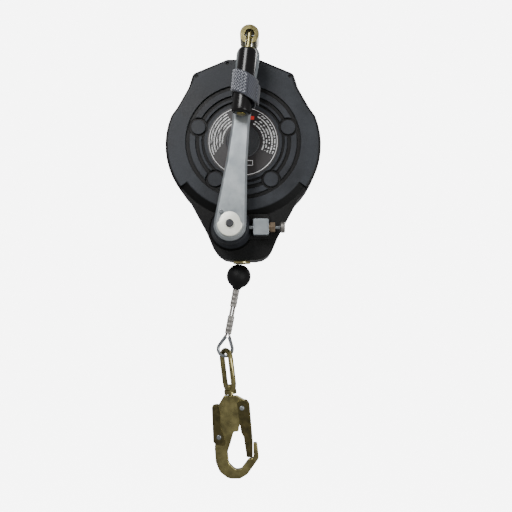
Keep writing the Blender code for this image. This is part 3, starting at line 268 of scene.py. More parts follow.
def labelFinish():
    # printed film: dark field with one thin pale circle and short generic print runs on arcs
    look = {"circle": 52.9, "circleHalf": 0.42, "firstArc": 32.2, "arcStep": 4.27, "arcs": 5.0,
            "arcHalf": 0.95, "wordPace": 0.36, "arcShift": 7.3, "wordGap": 0.42, "letterGap": 0.40,
            "letterScale": 5.2, "topFree": 0.5, "lowEnd": -0.42, "leftFrom": 49.0, "leftShare": 0.55}
    bar = {"x": 4.0, "z": 37.0, "wide": 13.0, "high": 2.9}  # half sizes, in mm
    box = {"x": 3.0, "z": -33.8, "wide": 12.0, "high": 4.2, "rim": 0.8}
    finish, tree, shader = newFinish("printed polyester film", "1f1b1c", 0.0, 0.42)
    place = addNode(tree, "TexCoord")
    centred = addNode(tree, "Mapping", {"Location": (0, 0, -drumZ)}, None)
    scaled = addNode(tree, "Mapping", {"Scale": (1000, 1000, 1000)}, {"Vector": place.outputs["Object"]})
    tree.links.new(scaled.outputs["Vector"], centred.inputs["Vector"])
    xyz = addNode(tree, "SeparateXYZ", None, {"Vector": centred.outputs["Vector"]})
    values = {"x": xyz.outputs["X"], "z": xyz.outputs["Z"]}
    # each sum is its name, what it does, and the numbers or earlier sums it takes
    arcSums = [
        ("xx", "MULTIPLY", "x", "x"), ("zz", "MULTIPLY", "z", "z"), ("squared", "ADD", "xx", "zz"),
        ("radius", "SQRT", "squared"), ("angle", "ARCTAN2", "z", "x"),
        # which arc, and how far from its middle
        ("pastStart", "SUBTRACT", "radius", look["firstArc"] - look["arcStep"] / 2),
        ("along", "DIVIDE", "pastStart", look["arcStep"]), ("index", "FLOOR", "along"),
        ("share", "SUBTRACT", "along", "index"), ("fromMiddle", "SUBTRACT", "share", 0.5),
        ("offset", "ABSOLUTE", "fromMiddle"), ("onArc", "LESS_THAN", "offset",
                                               look["arcHalf"] / look["arcStep"]),
        ("pastFirst", "GREATER_THAN", "along", 0.0), ("beforeLast", "LESS_THAN", "along", look["arcs"]),
        ("inArcs", "MULTIPLY", "pastFirst", "beforeLast"), ("reach", "MULTIPLY", "radius", look["wordPace"]),
        ("runAlong", "MULTIPLY", "angle", "reach"), ("runAcross", "MULTIPLY", "index", look["arcShift"]),
    ]
    printSums = [
        ("inWord", "GREATER_THAN", "words", look["wordGap"]),
        ("inLetter", "GREATER_THAN", "letters", look["letterGap"]),
        ("ink", "MULTIPLY", "inWord", "inLetter"),
        # the runs leave the top and bottom free; the inner ones on the left are shorter
        ("absX", "ABSOLUTE", "x"), ("sideways", "MULTIPLY", "radius", look["topFree"]),
        ("side", "GREATER_THAN", "absX", "sideways"), ("left", "LESS_THAN", "x", 0.0),
        ("lowEnd", "MULTIPLY", "radius", look["lowEnd"]), ("inward", "SUBTRACT", look["leftFrom"], "radius"),
        ("shorter", "MULTIPLY", "inward", look["leftShare"]), ("leftShorter", "MULTIPLY", "left", "shorter"),
        ("lowest", "ADD", "lowEnd", "leftShorter"), ("low", "GREATER_THAN", "z", "lowest"),
        ("inkOnArc", "MULTIPLY", "ink", "onArc"), ("sideLow", "MULTIPLY", "side", "low"),
        ("inRuns", "MULTIPLY", "inArcs", "sideLow"), ("runs", "MULTIPLY", "inkOnArc", "inRuns"),
        ("fromCircle", "SUBTRACT", "radius", look["circle"]), ("nearCircle", "ABSOLUTE", "fromCircle"),
        ("circle", "LESS_THAN", "nearCircle", look["circleHalf"]),
        # a plain red bar near the top and a fine box below
        ("barUp", "SUBTRACT", "z", bar["z"]), ("barZ", "ABSOLUTE", "barUp"),
        ("barHigh", "LESS_THAN", "barZ", bar["high"]),
        ("barOver", "SUBTRACT", "x", bar["x"]), ("barX", "ABSOLUTE", "barOver"),
        ("barWide", "LESS_THAN", "barX", bar["wide"]), ("bar", "MULTIPLY", "barHigh", "barWide"),
        ("boxOver", "SUBTRACT", "x", box["x"]), ("boxX", "ABSOLUTE", "boxOver"),
        ("boxUp", "SUBTRACT", "z", box["z"]), ("boxZ", "ABSOLUTE", "boxUp"),
        ("outerWide", "LESS_THAN", "boxX", box["wide"]), ("outerHigh", "LESS_THAN", "boxZ", box["high"]),
        ("outer", "MULTIPLY", "outerWide", "outerHigh"),
        ("innerWide", "LESS_THAN", "boxX", box["wide"] - box["rim"]),
        ("innerHigh", "LESS_THAN", "boxZ", box["high"] - box["rim"]),
        ("inner", "MULTIPLY", "innerWide", "innerHigh"), ("rim", "SUBTRACT", "outer", "inner"),
        ("runsOrRim", "MAXIMUM", "runs", "rim"), ("pale", "MAXIMUM", "circle", "runsOrRim"),
    ]
    for sums in (arcSums, printSums):
        if sums is printSums:  # words and letters: breaks of uneven length along each arc
            spot = addNode(tree, "CombineXYZ", None, {"X": values["runAlong"], "Y": values["runAcross"]})
            for name, scale in (("words", 1.0), ("letters", look["letterScale"])):
                breaks = addNode(tree, "TexNoise", {"Scale": scale, "Detail": 0.0},
                                 {"Vector": spot.outputs["Vector"]})
                values[name] = breaks.outputs["Fac"]
        for name, operation, *terms in sums:
            numbers = {k: term for k, term in enumerate(terms) if not isinstance(term, str)}
            sources = {k: values[term] for k, term in enumerate(terms) if isinstance(term, str)}
            values[name] = addNode(tree, "Math", {"operation": operation, **numbers},
                                   sources).outputs["Value"]
    first = addNode(tree, "MixRGB", {"Color1": hexColour("1f1b1c"), "Color2": hexColour("e03228")},
                    {"Fac": values["bar"]})
    second = addNode(tree, "MixRGB", {"Color2": hexColour("e4e4e4")},
                     {"Fac": values["pale"], "Color1": first.outputs["Color"]})
    tree.links.new(second.outputs["Color"], shader.inputs["Base Color"])
    film = addNode(tree, "TexNoise", {"Scale": 700.0, "Detail": 2.0}, {"Vector": place.outputs["Object"]})
    bump = addNode(tree, "Bump", {"Strength": 0.15, "Distance": 0.05 * mm}, {"Height": film.outputs["Fac"]})
    tree.links.new(bump.outputs["Normal"], shader.inputs["Normal"])
    return finish


printedFilm = labelFinish()
print("finishes made")

finishOf = {"housing_paint": powderCoat, "cast_aluminium": satinCast, "zinc_yellow_steel": zincOlive,
            "plain_steel": brightZinc, "dark_steel": darkSteel, "galvanised_steel": galvanised,
            "brass": turnedBrass,
            "bronze": brownBronze, "black_rubber": mouldedRubber, "grip_plastic": glossGrip,
            "label_film": printedFilm,
            "strap_webbing": webbing, "drum_plastic": paleNylon, "brake_lining": liningFinish}
slotOf = {part["node"]: part["material_slot"] for part in frame["record"]["subparts"]}


def dress(thing, finish):
    thing.data.materials.clear()
    thing.data.materials.append(finish)


for name, thing in frame["nodes"].items():
    for k in range(len(thing.material_slots)):
        thing.material_slots[k].material = finishOf[slotOf[name]]
    if not thing.material_slots:
        thing.data.materials.append(finishOf[slotOf[name]])


def only(thing):
    bpy.ops.object.select_all(action="DESELECT")
    thing.select_set(True)
    bpy.context.view_layer.objects.active = thing


def applyAll(thing):
    only(thing)
    for change in list(thing.modifiers):
        bpy.ops.object.modifier_apply(modifier=change.name)


def settle(thing, name, finish, body, nodes=(), smooth=40):
    # a finished piece: named, dressed, smoothed, with its place in its mesh, and riding on its body
    thing.name = name
    thing.data.name = name
    dress(thing, finish)
    only(thing)
    bpy.ops.object.transform_apply(location=True, rotation=True, scale=True)
    if smooth:
        bpy.ops.object.shade_smooth_by_angle(angle=math.radians(smooth))
    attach(thing, body)
    if nodes:
        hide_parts(*nodes)
    return thing


# pieces that keep their CAD shape get real edges
edges = {
    "front_shell": ("frontHousing", 0.55, None), "rear_shell": ("rearHousing", 0.8, None),
    "crank_arm": ("crankArm", 1.3, None), "gate": ("hookGate", 0.45, zincBrown),
    "lock_lever": ("lockLever", 0.45, zincBrown), "bail": ("swivelBail", 0.5, None),
    "gland": ("brassGland", 0.35, None), "plunger_block": ("plungerBlock", 0.7, None),
    "plunger_nut": ("plungerNut", 0.5, None), "plunger_knob": ("plungerKnob", 0.4, None),
    "plunger_pin": ("plungerPin", 0.3, None), "hub_screw": ("hubScrew", 0.4, None),
    "hub_pin": ("hubPin", 0.4, brightZinc), "grip_socket": ("gripSocket", 0.45, None),
    "grip_spindle": ("gripSpindle", 0.3, zincOlive), "socket_pin": ("socketPin", 0.3, None),
    "gate_rivet": ("gateRivet", 0.4, None), "lever_rivet": ("leverRivet", 0.4, None),
    "swivel_stud": ("swivelStud", 0.4, zincOlive), "anchor_eye": ("anchorEye", 1.6, None),
    "axle_nut": ("axleNut", 0.6, None), "label_plate": ("printedLabel", 0.12, None),
}
clamped = ("crank_arm", "grip_socket", "bail")  # their small faces would cross if the edge ran its full width


def refined(node, name, width, finish):
    thing = bpy.data.objects.new(name, frame["nodes"][node].data.copy())
    bpy.context.scene.collection.objects.link(thing)
    only(thing)
    bpy.ops.object.mode_set(mode="EDIT")
    bpy.ops.mesh.select_all(action="SELECT")
    bpy.ops.mesh.remove_doubles(threshold=0.000002)
    bpy.ops.mesh.dissolve_limited(angle_limit=math.radians(0.6))
    bpy.ops.object.mode_set(mode="OBJECT")
    bevel = thing.modifiers.new("edge", "BEVEL")
    bevel.width = width * mm
    bevel.segments = 2
    bevel.limit_method = "ANGLE"
    bevel.angle_limit = math.radians(32)
    bevel.use_clamp_overlap = node in clamped
    applyAll(thing)
    bpy.ops.object.shade_smooth_by_angle(angle=math.radians(34))
    weights = thing.modifiers.new("weights", "WEIGHTED_NORMAL")
    weights.keep_sharp, weights.weight, weights.mode = True, 100, "FACE_AREA"
    applyAll(thing)
    return settle(thing, name, finish or finishOf[slotOf[node]], bodyOf[node], (node,), None)


for node, (name, width, finish) in edges.items():
    refined(node, name, width, finish)
print("edged pieces made")


# the hook: a forged plate drawn from its outline, with a broad chamfer all round
hookLook = {"thick": 12.0, "chamfer": 1.5, "corners": [
    (-30.4, -395.8, 3), (-9.6, -395.8, 3), (2.6, -402.5, 6), (6.0, -413.5, 5), (4.2, -421.0, 5),
    (-6.2, -443.0, 3), (-7.2, -450.6, 2.2), (-15.0, -451.4, 3), (-19.4, -467.5, 6), (-24.2, -482.0, 10),
    (-22.4, -499.5, 9), (-11.8, -509.4, 8), (-2.6, -508.0, 6), (8.4, -493.5, 4), (16.0, -491.0, 2),
    (15.7, -468.3, 1.8), (22.0, -468.1, 2.2), (24.6, -491.5, 8), (6.8, -516.0, 12), (-4.8, -523.0, 9),
    (-22.5, -523.0, 18), (-36.5, -512.5, 14), (-42.8, -497.5, 14), (-44.6, -476.0, 8),
    (-43.2, -459.0, 4), (-41.8, -415.0, 4)]}


def softOutline(corners, steps):
    # each corner becomes an arc that touches both its sides, and long sides are left whole
    points = []
    for i, (x, z, radius) in enumerate(corners):
        here = Vector((x, z))
        back = (Vector(corners[i - 1][:2]) - here)
        ahead = (Vector(corners[(i + 1) % len(corners)][:2]) - here)
        turn = back.angle(ahead)
        reach = min(radius / math.tan(turn / 2), back.length * 0.48, ahead.length * 0.48)
        start, end = here + back.normalized() * reach, here + ahead.normalized() * reach
        for k in range(steps + 1):
            t = k / steps
            points.append(start * (1 - t) ** 2 + here * 2 * t * (1 - t) + end * t ** 2)
    return points


outline = softOutline(hookLook["corners"], 8)
bpy.ops.object.select_all(action="DESELECT")
bpy.ops.mesh.primitive_circle_add(vertices=len(outline), radius=0.02, fill_type="NGON")
hook = bpy.context.object
for vertex, point in zip(hook.data.vertices, outline):
    vertex.co = at(point.x, -hookLook["thick"] / 2, point.y)
bpy.ops.object.mode_set(mode="EDIT")
bpy.ops.mesh.select_all(action="SELECT")
bpy.ops.mesh.extrude_region_move(TRANSFORM_OT_translate={"value": (0, hookLook["thick"] * mm, 0)})
bpy.ops.mesh.select_all(action="SELECT")
bpy.ops.mesh.normals_make_consistent(inside=False)
bpy.ops.object.mode_set(mode="OBJECT")
chamfer = hook.modifiers.new("chamfer", "BEVEL")
chamfer.width, chamfer.segments, chamfer.limit_method = hookLook["chamfer"] * mm, 2, "ANGLE"
chamfer.angle_limit, chamfer.use_clamp_overlap = math.radians(60), False
applyAll(hook)
bpy.ops.object.shade_smooth_by_angle(angle=math.radians(24))
evenNormals = hook.modifiers.new("weights", "WEIGHTED_NORMAL")
evenNormals.keep_sharp = True
applyAll(hook)
settle(hook, "hookBody", zincOlive, "hook", ("hook_body",), None)
print("hook made")


# round pieces, drawn ring by ring from a first circle
def turnedPiece(look, name, finish, body, nodes):
    low = look["profile"][0]
    axis = Vector(look["axis"])
    bpy.ops.object.select_all(action="DESELECT")
    bpy.ops.mesh.primitive_circle_add(vertices=look["steps"], radius=low[0] * mm, fill_type="NOTHING",
                                      location=placed(Vector(look["centre"]) + axis * low[1]),
                                      rotation=Vector((0, 0, 1)).rotation_difference(axis).to_euler())
    thing = bpy.context.object
    bpy.ops.object.mode_set(mode="EDIT")
    bpy.ops.mesh.select_all(action="SELECT")
    for before, after in zip(look["profile"], look["profile"][1:]):
        bpy.ops.mesh.extrude_region_move(TRANSFORM_OT_translate={"value": axis * (after[1] - before[1]) * mm})
        if abs(after[0] - before[0]) > 1e-6:
            centre = placed(Vector(look["centre"]) + axis * after[1])
            bpy.ops.transform.resize(value=(after[0] / before[0],) * 3, center_override=centre)
    bpy.ops.mesh.select_all(action="SELECT")
    bpy.ops.mesh.remove_doubles(threshold=0.00002)
    bpy.ops.mesh.normals_make_consistent(inside=False)
    bpy.ops.object.mode_set(mode="OBJECT")
    return settle(thing, name, finish, body, nodes, look.get("smooth", 38))


def arc(centreR, centreH, radius, start, end, count):
    turns = [math.radians(start + (end - start) * k / count) for k in range(count + 1)]
    return [(centreR + radius * math.cos(turn), centreH + radius * math.sin(turn)) for turn in turns]


bore = line["rope"] + 0.3
ballLook = {"centre": lineStart - lineDown * 0.9, "axis": lineDown, "steps": 96,
            "profile": [(bore, 4.6), (6.0, 4.7)] + arc(0, 23.0, 19.2, -70, 32, 22)
            + [(13.4, 36.8), (10.6, 39.0), (8.2, 40.6), (6.8, 42.4), (6.3, 44.0), (5.4, 44.1), (bore, 38.0),
               (bore, 4.6)]}
turnedPiece(ballLook, "rubberBall", mouldedRubber, "line_end", ("ball_stop",))

gripStart, gripEnd = 21.0, 116.0
gripLook = {"centre": fold, "axis": -armUp, "steps": 72,
            "profile": [(4.3, gripStart), (9.6, gripStart)] + arc(10.1, gripStart + 3, 3.0, -90, 0, 6)
            + [(13.5, 52.0), (14.05, 80.0), (14.6, 106.0)] + arc(11.6, gripEnd - 3.4, 3.1, 0, 80, 6)
            + [(11.0, gripEnd), (4.3, gripEnd), (4.3, gripStart)], "smooth": 45}
turnedPiece(gripLook, "foldingGrip", glossGrip, "grip", ("grip",))

capLook = {"centre": Vector((0, -42.3, 0)), "axis": Vector((0, -1, 0)), "steps": 80,
           "profile": [(0.4, 1.0), (23.4, 1.0), (24.0, 1.7), (25.2, 1.7), (26.0, 1.2), (26.1, 0.0),
                       (0.4, 0.0), (0.4, 1.0)]}
texturedCap = grained("knurled housing cap", {
    "colour": "2a2c2f", "second": "34363a", "metallic": 0.0, "rough": (0.5, 0.6), "grain": 1.9, "cloud": 20,
    "depth": 0.5, "strength": 1.0, "dark": 0.6})
turnedPiece(capLook, "centreCap", texturedCap, "housing", ("centre_cap",))
print("round pieces made")


# the hub's two-step disc
discLook = {"low": 18.3, "high": 15.4, "lift": 2.0, "front": -104.5, "rear": -95.3, "bevel": 0.9}
bpy.ops.object.select_all(action="DESELECT")
bpy.ops.mesh.primitive_circle_add(vertices=96, radius=discLook["low"] * mm, fill_type="NGON",
                                  location=at(hub.x, discLook["rear"], hub.z),
                                  rotation=(math.radians(90), 0, 0))
disc = bpy.context.object
for vertex in disc.data.vertices:
    if vertex.co.y > 1e-5:  # the upper half steps in
        angle = math.atan2(vertex.co.y, vertex.co.x)
        vertex.co.x = discLook["high"] * mm * math.cos(angle)
        vertex.co.y = (discLook["lift"] + discLook["high"] * math.sin(angle)) * mm
bpy.ops.object.mode_set(mode="EDIT")
bpy.ops.mesh.select_all(action="SELECT")
thickness = (discLook["front"] - discLook["rear"]) * mm
bpy.ops.mesh.extrude_region_move(TRANSFORM_OT_translate={"value": (0, thickness, 0)})
bpy.ops.mesh.select_all(action="SELECT")
bpy.ops.mesh.normals_make_consistent(inside=False)
bpy.ops.object.mode_set(mode="OBJECT")
soften = disc.modifiers.new("edge", "BEVEL")
soften.width, soften.segments, soften.limit_method = discLook["bevel"] * mm, 3, "ANGLE"
applyAll(disc)
settle(disc, "hubDisc", turnedDisc, "crank", ("hub_disc",), 40)


# steel rope: six strands laid round the rope's own path
def frames(path):
    side, found = None, []
    for i, here in enumerate(path):
        before, after = path[max(i - 1, 0)], path[min(i + 1, len(path) - 1)]
        ahead = (after - before).normalized()
        if side is None:
            side = ahead.cross(Vector((0.2, 0.9, 0.3))).normalized()
        side = (side - ahead * side.dot(ahead)).normalized()
        found.append((here, side, ahead.cross(side)))
    return found


def evenly(path, step):
    found, left = [path[0]], 0.0
    for a, b in zip(path, path[1:]):
        length = (b - a).length
        t = step - left
        while t <= length:
            found.append(a.lerp(b, t / length))
            t += step
        left = length - (t - step)
    return found


# shares are of the rope's radius, lengths in mm
ropeLook = {"strands": 6, "strandShare": 0.36, "ringShare": 0.64, "lay": 22.0, "step": 1.0}


def strandedRope(name, path, radius, body, nodes):
    step = ropeLook["step"]
    rounds = evenly(path, step)
    curve = bpy.data.curves.new(name, "CURVE")
    curve.dimensions = "3D"
    curve.bevel_depth = radius * ropeLook["strandShare"] * mm
    curve.bevel_resolution = 1
    curve.use_fill_caps = True
    for strandIndex in range(ropeLook["strands"]):
        spline = curve.splines.new("POLY")
        spline.points.add(len(rounds) - 1)
        for i, (here, side, up) in enumerate(frames(rounds)):
            turn = 2 * math.pi * (i * step / ropeLook["lay"] + strandIndex / ropeLook["strands"])
            point = here + (side * math.cos(turn) + up * math.sin(turn)) * radius * ropeLook["ringShare"]
            spline.points[i].co = (*placed(point), 1)
    core = curve.splines.new("POLY")
    core.points.add(len(rounds) - 1)
    for i, here in enumerate(rounds):
        core.points[i].co = (*placed(here), 1)
    thing = bpy.data.objects.new(name, curve)
    bpy.context.scene.collection.objects.link(thing)
    only(thing)
    bpy.ops.object.convert(target="MESH")
    thing = bpy.context.object
    return settle(thing, name, galvanised, body, nodes, 50)


strand = line["rope"] + 0.15
loop = [onLine(4.2), onLine(33.5), onLine(41.5, -strand), onLine(116.5, -strand)]
for k in range(49):
    turn = math.radians(-118 + 236 * k / 48) + math.pi / 2
    loop.append(onLine(line["thimble"] + 11.9 * math.sin(turn), -11.9 * math.cos(turn)))
loop += [onLine(116.5, strand), onLine(42.5, strand)]
ropeEye = strandedRope("ropeEye", loop, line["rope"], "line_end", ("lifeline_eye",))


# ferrules: pressed oval sleeves, slightly barrelled with crimp rings
def ferrule(name, low, high, node):
    steps = 48
    rings = [(low, 0.75), (low + 0.7, 1.2), (low + 3, 1.3)]
    count = 4
    for k in range(count):
        middle = low + (high - low) * (k + 0.5) / count
        rings += [(middle - 2.4, 1.3), (middle - 1.6, 1.0), (middle + 1.6, 1.0), (middle + 2.4, 1.3)]
    rings += [(high - 0.7, 1.2), (high, 0.75)]
    rings = sorted(set(rings))
    bpy.ops.object.select_all(action="DESELECT")
    bpy.ops.mesh.primitive_grid_add(x_subdivisions=steps, y_subdivisions=len(rings) + 1, size=1)
    thing = bpy.context.object
    columns = steps + 1
    levels = [(rings[0][0], 0.0)] + rings + [(rings[-1][0], 0.0)]
    for vertex in thing.data.vertices:
        column, row = vertex.index % columns, vertex.index // columns
        turn = 2 * math.pi * column / steps
        t, wall = levels[row]
        tall = line["rope"] + wall
        aside = strand if math.cos(turn) > 1e-6 else -strand if math.cos(turn) < -1e-6 else 0
        vertex.co = placed(onLine(t, tall * math.cos(turn) + aside, tall * math.sin(turn)))
    only(thing)
    bpy.ops.object.mode_set(mode="EDIT")
    bpy.ops.mesh.select_all(action="SELECT")
    bpy.ops.mesh.remove_doubles(threshold=0.000005)
    bpy.ops.mesh.normals_make_consistent(inside=False)
    bpy.ops.object.mode_set(mode="OBJECT")
    return settle(thing, name, galvanised, "line_end", (node,), 40)


ferrule("upperFerrule", 43.4, 71.2, "ferrule_upper")
ferrule("lowerFerrule", 86.4, 114.8, "ferrule_lower")
print("rope and ferrules made")


# thimble: a grooved channel round the rope's eye
thimbleLook = {"radius": 9.4, "tip": (0.9, 120.5), "stations": 64}  # mm
channel = [(-0.7, -2.4), (-0.9, 0.0), (-0.7, 2.4), (0.0, 3.1), (1.0, 3.35), (3.4, 3.4), (3.6, 2.9),
           (3.4, 2.4), (1.2, 2.35), (0.5, 2.1), (0.3, 0.0), (0.5, -2.1), (1.2, -2.35), (3.4, -2.4),
           (3.6, -2.9), (3.4, -3.4), (1.0, -3.35), (0.0, -3.1)]
stations = []
for k in range(thimbleLook["stations"] + 1):
    turn = math.radians(-118 + 236 * k / thimbleLook["stations"]) + math.pi / 2
    stations.append((-math.cos(turn), math.sin(turn), -thimbleLook["radius"] * math.cos(turn),
                     line["thimble"] + thimbleLook["radius"] * math.sin(turn)))
first, last = stations[0], stations[-1]
stations = [(first[0], first[1], -thimbleLook["tip"][0], thimbleLook["tip"][1])] + stations \
    + [(last[0], last[1], thimbleLook["tip"][0], thimbleLook["tip"][1])]
bpy.ops.object.select_all(action="DESELECT")
bpy.ops.mesh.primitive_grid_add(x_subdivisions=len(channel), y_subdivisions=len(stations) - 1, size=1)
thimble = bpy.context.object
columns = len(channel) + 1
for vertex in thimble.data.vertices:
    outX, outT, across, t = stations[vertex.index // columns]
    reach, y = channel[vertex.index % columns % len(channel)]
    vertex.co = placed(onLine(t + outT * reach, across + outX * reach, y))
only(thimble)
bpy.ops.object.mode_set(mode="EDIT")
bpy.ops.mesh.select_all(action="SELECT")
bpy.ops.mesh.remove_doubles(threshold=0.000005)
bpy.ops.mesh.select_all(action="DESELECT")
bpy.ops.mesh.select_non_manifold()
bpy.ops.mesh.fill_holes(sides=0)
bpy.ops.mesh.select_all(action="SELECT")
bpy.ops.mesh.normals_make_consistent(inside=False)
bpy.ops.object.mode_set(mode="OBJECT")
settle(thimble, "ropeThimble", brightZinc, "line_end", ("thimble",), 45)


# the stretch of rope that comes out of the gland
stretchLook = {"top": 1.0, "bottom": 3.2, "radius": 1.9, "steps": 20, "rows": 24}
bpy.ops.object.select_all(action="DESELECT")
bpy.ops.mesh.primitive_grid_add(x_subdivisions=stretchLook["steps"],
                               y_subdivisions=stretchLook["rows"], size=1)
stretch = bpy.context.object
for vertex in stretch.data.vertices:
    column, row = vertex.index % (stretchLook["steps"] + 1), vertex.index // (stretchLook["steps"] + 1)
    turn = 2 * math.pi * column / stretchLook["steps"]
    # the first and last rows close to a point
    radius = stretchLook["radius"] * (0.001 if row in (0, stretchLook["rows"]) else 1.0)
    inner = stretchLook["rows"] - 2
    share = max(0, min(row - 1, inner)) / inner
    t = stretchLook["top"] + (stretchLook["bottom"] - stretchLook["top"]) * share
    vertex.co = placed(onLine(t, radius * math.cos(turn), radius * math.sin(turn)))
only(stretch)
bpy.ops.object.mode_set(mode="EDIT")
bpy.ops.mesh.select_all(action="SELECT")
bpy.ops.mesh.remove_doubles(threshold=0.000005)
bpy.ops.mesh.normals_make_consistent(inside=False)
bpy.ops.object.mode_set(mode="OBJECT")
stretch.name = stretch.data.name = "ropeStretch"
dress(stretch, galvanised)
bpy.ops.object.shade_smooth_by_angle(angle=math.radians(50))
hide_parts("lifeline_stretch")
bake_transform(stretch)
print("thimble and rope stretch made")


# the strap: one band of webbing wound round arm and grip, sewn on the left of its front
strap = {"middle": 199.5, "half": 16.5, "slant": math.tan(math.radians(-20)), "thick": 1.5,
         "foldY": crank["foldY"]}


def strapLoop():
    points = []
    for k in range(25):
        a = math.radians(180 + 180 * k / 24)
        loose = 1.2 if math.cos(a) > 0 else 0.98  # the band stands off the grip on its right
        points.append(Vector((15.5 * loose * math.cos(a), strap["foldY"] + 15.3 * math.sin(a))))
    points += [Vector((18.3, -104)), Vector((17.4, -94)), Vector((16.2, -86))]
    points += [Vector((13.2 + 2.8 * math.cos(math.radians(a)),
                       -84 + 2.6 * math.sin(math.radians(a)))) for a in (0, 22, 45, 68, 90)]
    points += [Vector((6, -81.2)), Vector((0, -81.0)), Vector((-6, -81.2))]
    points += [Vector((-13.2 - 2.8 * math.cos(math.radians(a)),
                       -84 + 2.6 * math.sin(math.radians(a)))) for a in (90, 68, 45, 22, 0)]
    points += [Vector((-16.0, -86)), Vector((-15.9, -94)), Vector((-15.7, -104))]
    return points


loopPoints = strapLoop()
lengths = [0.0]
for a, b in zip(loopPoints, loopPoints[1:] + loopPoints[:1]):
    lengths.append(lengths[-1] + (b - a).length)


def onStrap(s, v, lift):
    # s runs along the band from the left of the front, v across it, lift out from its inner face; all in mm
    turn = s % lengths[-1]
    k = max(i for i in range(len(loopPoints)) if lengths[i] <= turn)
    a, b = loopPoints[k], loopPoints[(k + 1) % len(loopPoints)]
    share = (turn - lengths[k]) / max(1e-6, (b - a).length)
    p = a.lerp(b, share)
    ahead = b - a
    nextAhead = loopPoints[(k + 2) % len(loopPoints)] - b
    backAhead = a - loopPoints[k - 1]
    mean = ahead.normalized() + nextAhead.normalized() * max(0, share - 0.5)
    mean = mean + backAhead.normalized() * max(0, 0.5 - share)
    out = Vector((mean.y, -mean.x)).normalized()
    p = p + out * lift
    return hub + armUp * (strap["middle"] + v + p.x * strap["slant"]) + armAcross * p.x + Vector((0, p.y, 0))


def band(name, start, end, low, high, lift, lifts=None):
    rows, columns = 14, max(8, int((end - start) / 0.9))
    bpy.ops.object.select_all(action="DESELECT")
    bpy.ops.mesh.primitive_grid_add(x_subdivisions=columns, y_subdivisions=rows, size=1)
    thing = bpy.context.object
    layer = thing.data.uv_layers[0]
    layer.name = "bandUV"
    for vertex in thing.data.vertices:
        column, row = vertex.index % (columns + 1), vertex.index // (columns + 1)
        s = start + (end - start) * column / columns
        v = low + (high - low) * row / rows
        rise = lifts(column / columns) if lifts else lift
        pucker = 0.12 * math.sin(s * 1.9) * math.sin(v * 1.3)
        vertex.co = placed(onStrap(s, v, rise + pucker))
    for corner in thing.data.loops:
        column = corner.vertex_index % (columns + 1)
        row = corner.vertex_index // (columns + 1)
        layer.data[corner.index].uv = ((start + (end - start) * column / columns) * mm,
                                       (low + (high - low) * row / rows) * mm)
    wall = thing.modifiers.new("wall", "SOLIDIFY")
    wall.thickness, wall.offset = strap["thick"] * mm, 1.0
    edge = thing.modifiers.new("edge", "BEVEL")
    edge.width, edge.segments, edge.limit_method = 0.4 * mm, 2, "ANGLE"
    applyAll(thing)
    return thing


around = lengths[-1]
strapPiece = band("gripStrap", 0.0, around - 0.4, -strap["half"], strap["half"], 0.3)
settle(strapPiece, "gripStrap", webbing, "crank", ("grip_strap",), 45)
upperLayer = band("strapOverlap", 2.0, 29.0, -16.2, 16.2, 0.3,
                  lambda share: 0.3 + strap["thick"] + 0.15)
settle(upperLayer, "strapOverlap", webbing, "crank", (), 45)
tail = band("strapTail", 44.0, 60.0, -15.8, 10.0, 0.3,
            lambda share: 0.3 + strap["thick"] + 0.2 + 2.2 * math.sin(share * 1.4))
settle(tail, "strapTail", webbing, "crank", (), 45)


def stitching(name, runs):
    curve = bpy.data.curves.new(name, "CURVE")
    curve.dimensions = "3D"
    curve.bevel_depth = 0.5 * mm
    curve.bevel_resolution = 1
    curve.use_fill_caps = True
    for run in runs:
        spline = curve.splines.new("POLY")
        spline.points.add(len(run) - 1)
        for i, (s, v, lift) in enumerate(run):
            spline.points[i].co = (*placed(onStrap(s, v, lift)), 1)
    thing = bpy.data.objects.new(name, curve)
    bpy.context.scene.collection.objects.link(thing)
    only(thing)
    bpy.ops.object.convert(target="MESH")
    return settle(bpy.context.object, name, stitchThread, "crank", (), 50)


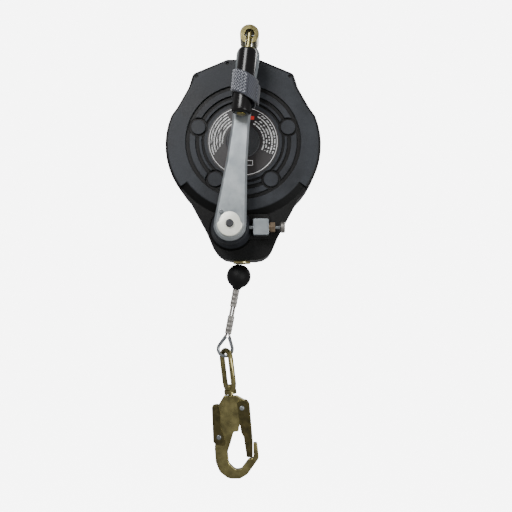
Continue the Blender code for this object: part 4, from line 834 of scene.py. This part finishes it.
# zigzags run across the band, one beside the other
stitchLook = {"columns": 6, "first": 5.6, "apart": 3.9, "swing": 1.5, "low": -14.4, "pace": 2.4, "points": 13}
top = 0.3 + 2 * strap["thick"] + 0.35
runs = []
for column in range(stitchLook["columns"]):
    middle = stitchLook["first"] + stitchLook["apart"] * column
    runs.append([(middle + (stitchLook["swing"] if k % 2 else -stitchLook["swing"]),
                  stitchLook["low"] + stitchLook["pace"] * k, top) for k in range(stitchLook["points"])])
stitching("strapStitching", runs)
for thing in (strapPiece, upperLayer, tail, bpy.data.objects["strapStitching"]):
    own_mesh(thing)
print("strap made")

# floor and light
bpy.ops.object.select_all(action="DESELECT")
bpy.ops.mesh.primitive_plane_add(size=30, location=(0, 0, -1.35))
floor = bpy.context.object
floor.name = "studioFloor"
bpy.ops.object.mode_set(mode="EDIT")
bpy.ops.mesh.subdivide(number_cuts=1)
bpy.ops.object.mode_set(mode="OBJECT")
# paper lit from beneath, as on a light table: it shows bright and throws no light back up
paleFloor, tree, shader = newFinish("backlit studio paper", "f6f6f6", 0.0, 0.9,
                                    {"Emission Color": (1, 1, 1, 1), "Emission Strength": 6.6})
dress(floor, paleFloor)
floor.visible_diffuse = floor.visible_glossy = False

lights = {
    "keyLight": {"place": (-0.7, -1.9, 0.9), "size": 0.8, "power": 46, "aim": (0, 0, -0.25)},
    "fillLight": {"place": (1.2, -1.6, -0.5), "size": 0.7, "power": 18, "aim": (0, 0, -0.3)},
    "rimLight": {"place": (0.7, 1.3, 0.6), "size": 1.0, "power": 12, "aim": (0, 0, -0.2)},
}
for name, look in lights.items():
    place = Vector(look["place"])
    turn = (Vector(look["aim"]) - place).to_track_quat("-Z", "Y").to_euler()
    bpy.ops.object.select_all(action="DESELECT")
    bpy.ops.object.light_add(type="AREA", location=place, rotation=turn)
    lamp = bpy.context.object
    lamp.name = name
    lamp.data.size = look["size"]
    lamp.data.energy = look["power"]

# the air is brighter to the camera than to the piece, so the background shows white
world = bpy.data.worlds.new("studioAir")
world.use_nodes = True
air = world.node_tree
plain = air.nodes["Background"]
plain.inputs["Color"].default_value = (1, 1, 1, 1)
plain.inputs["Strength"].default_value = 0.42
bright = addNode(air, "Background", {"Color": (1, 1, 1, 1), "Strength": 7.0})
seen = addNode(air, "LightPath")
both = addNode(air, "MixShader", None, {"Fac": seen.outputs["Is Camera Ray"], 1: plain.outputs[0],
                                        2: bright.outputs[0]})
air.links.new(both.outputs[0], air.nodes["World Output"].inputs["Surface"])
bpy.context.scene.world = world
print("studio lit")
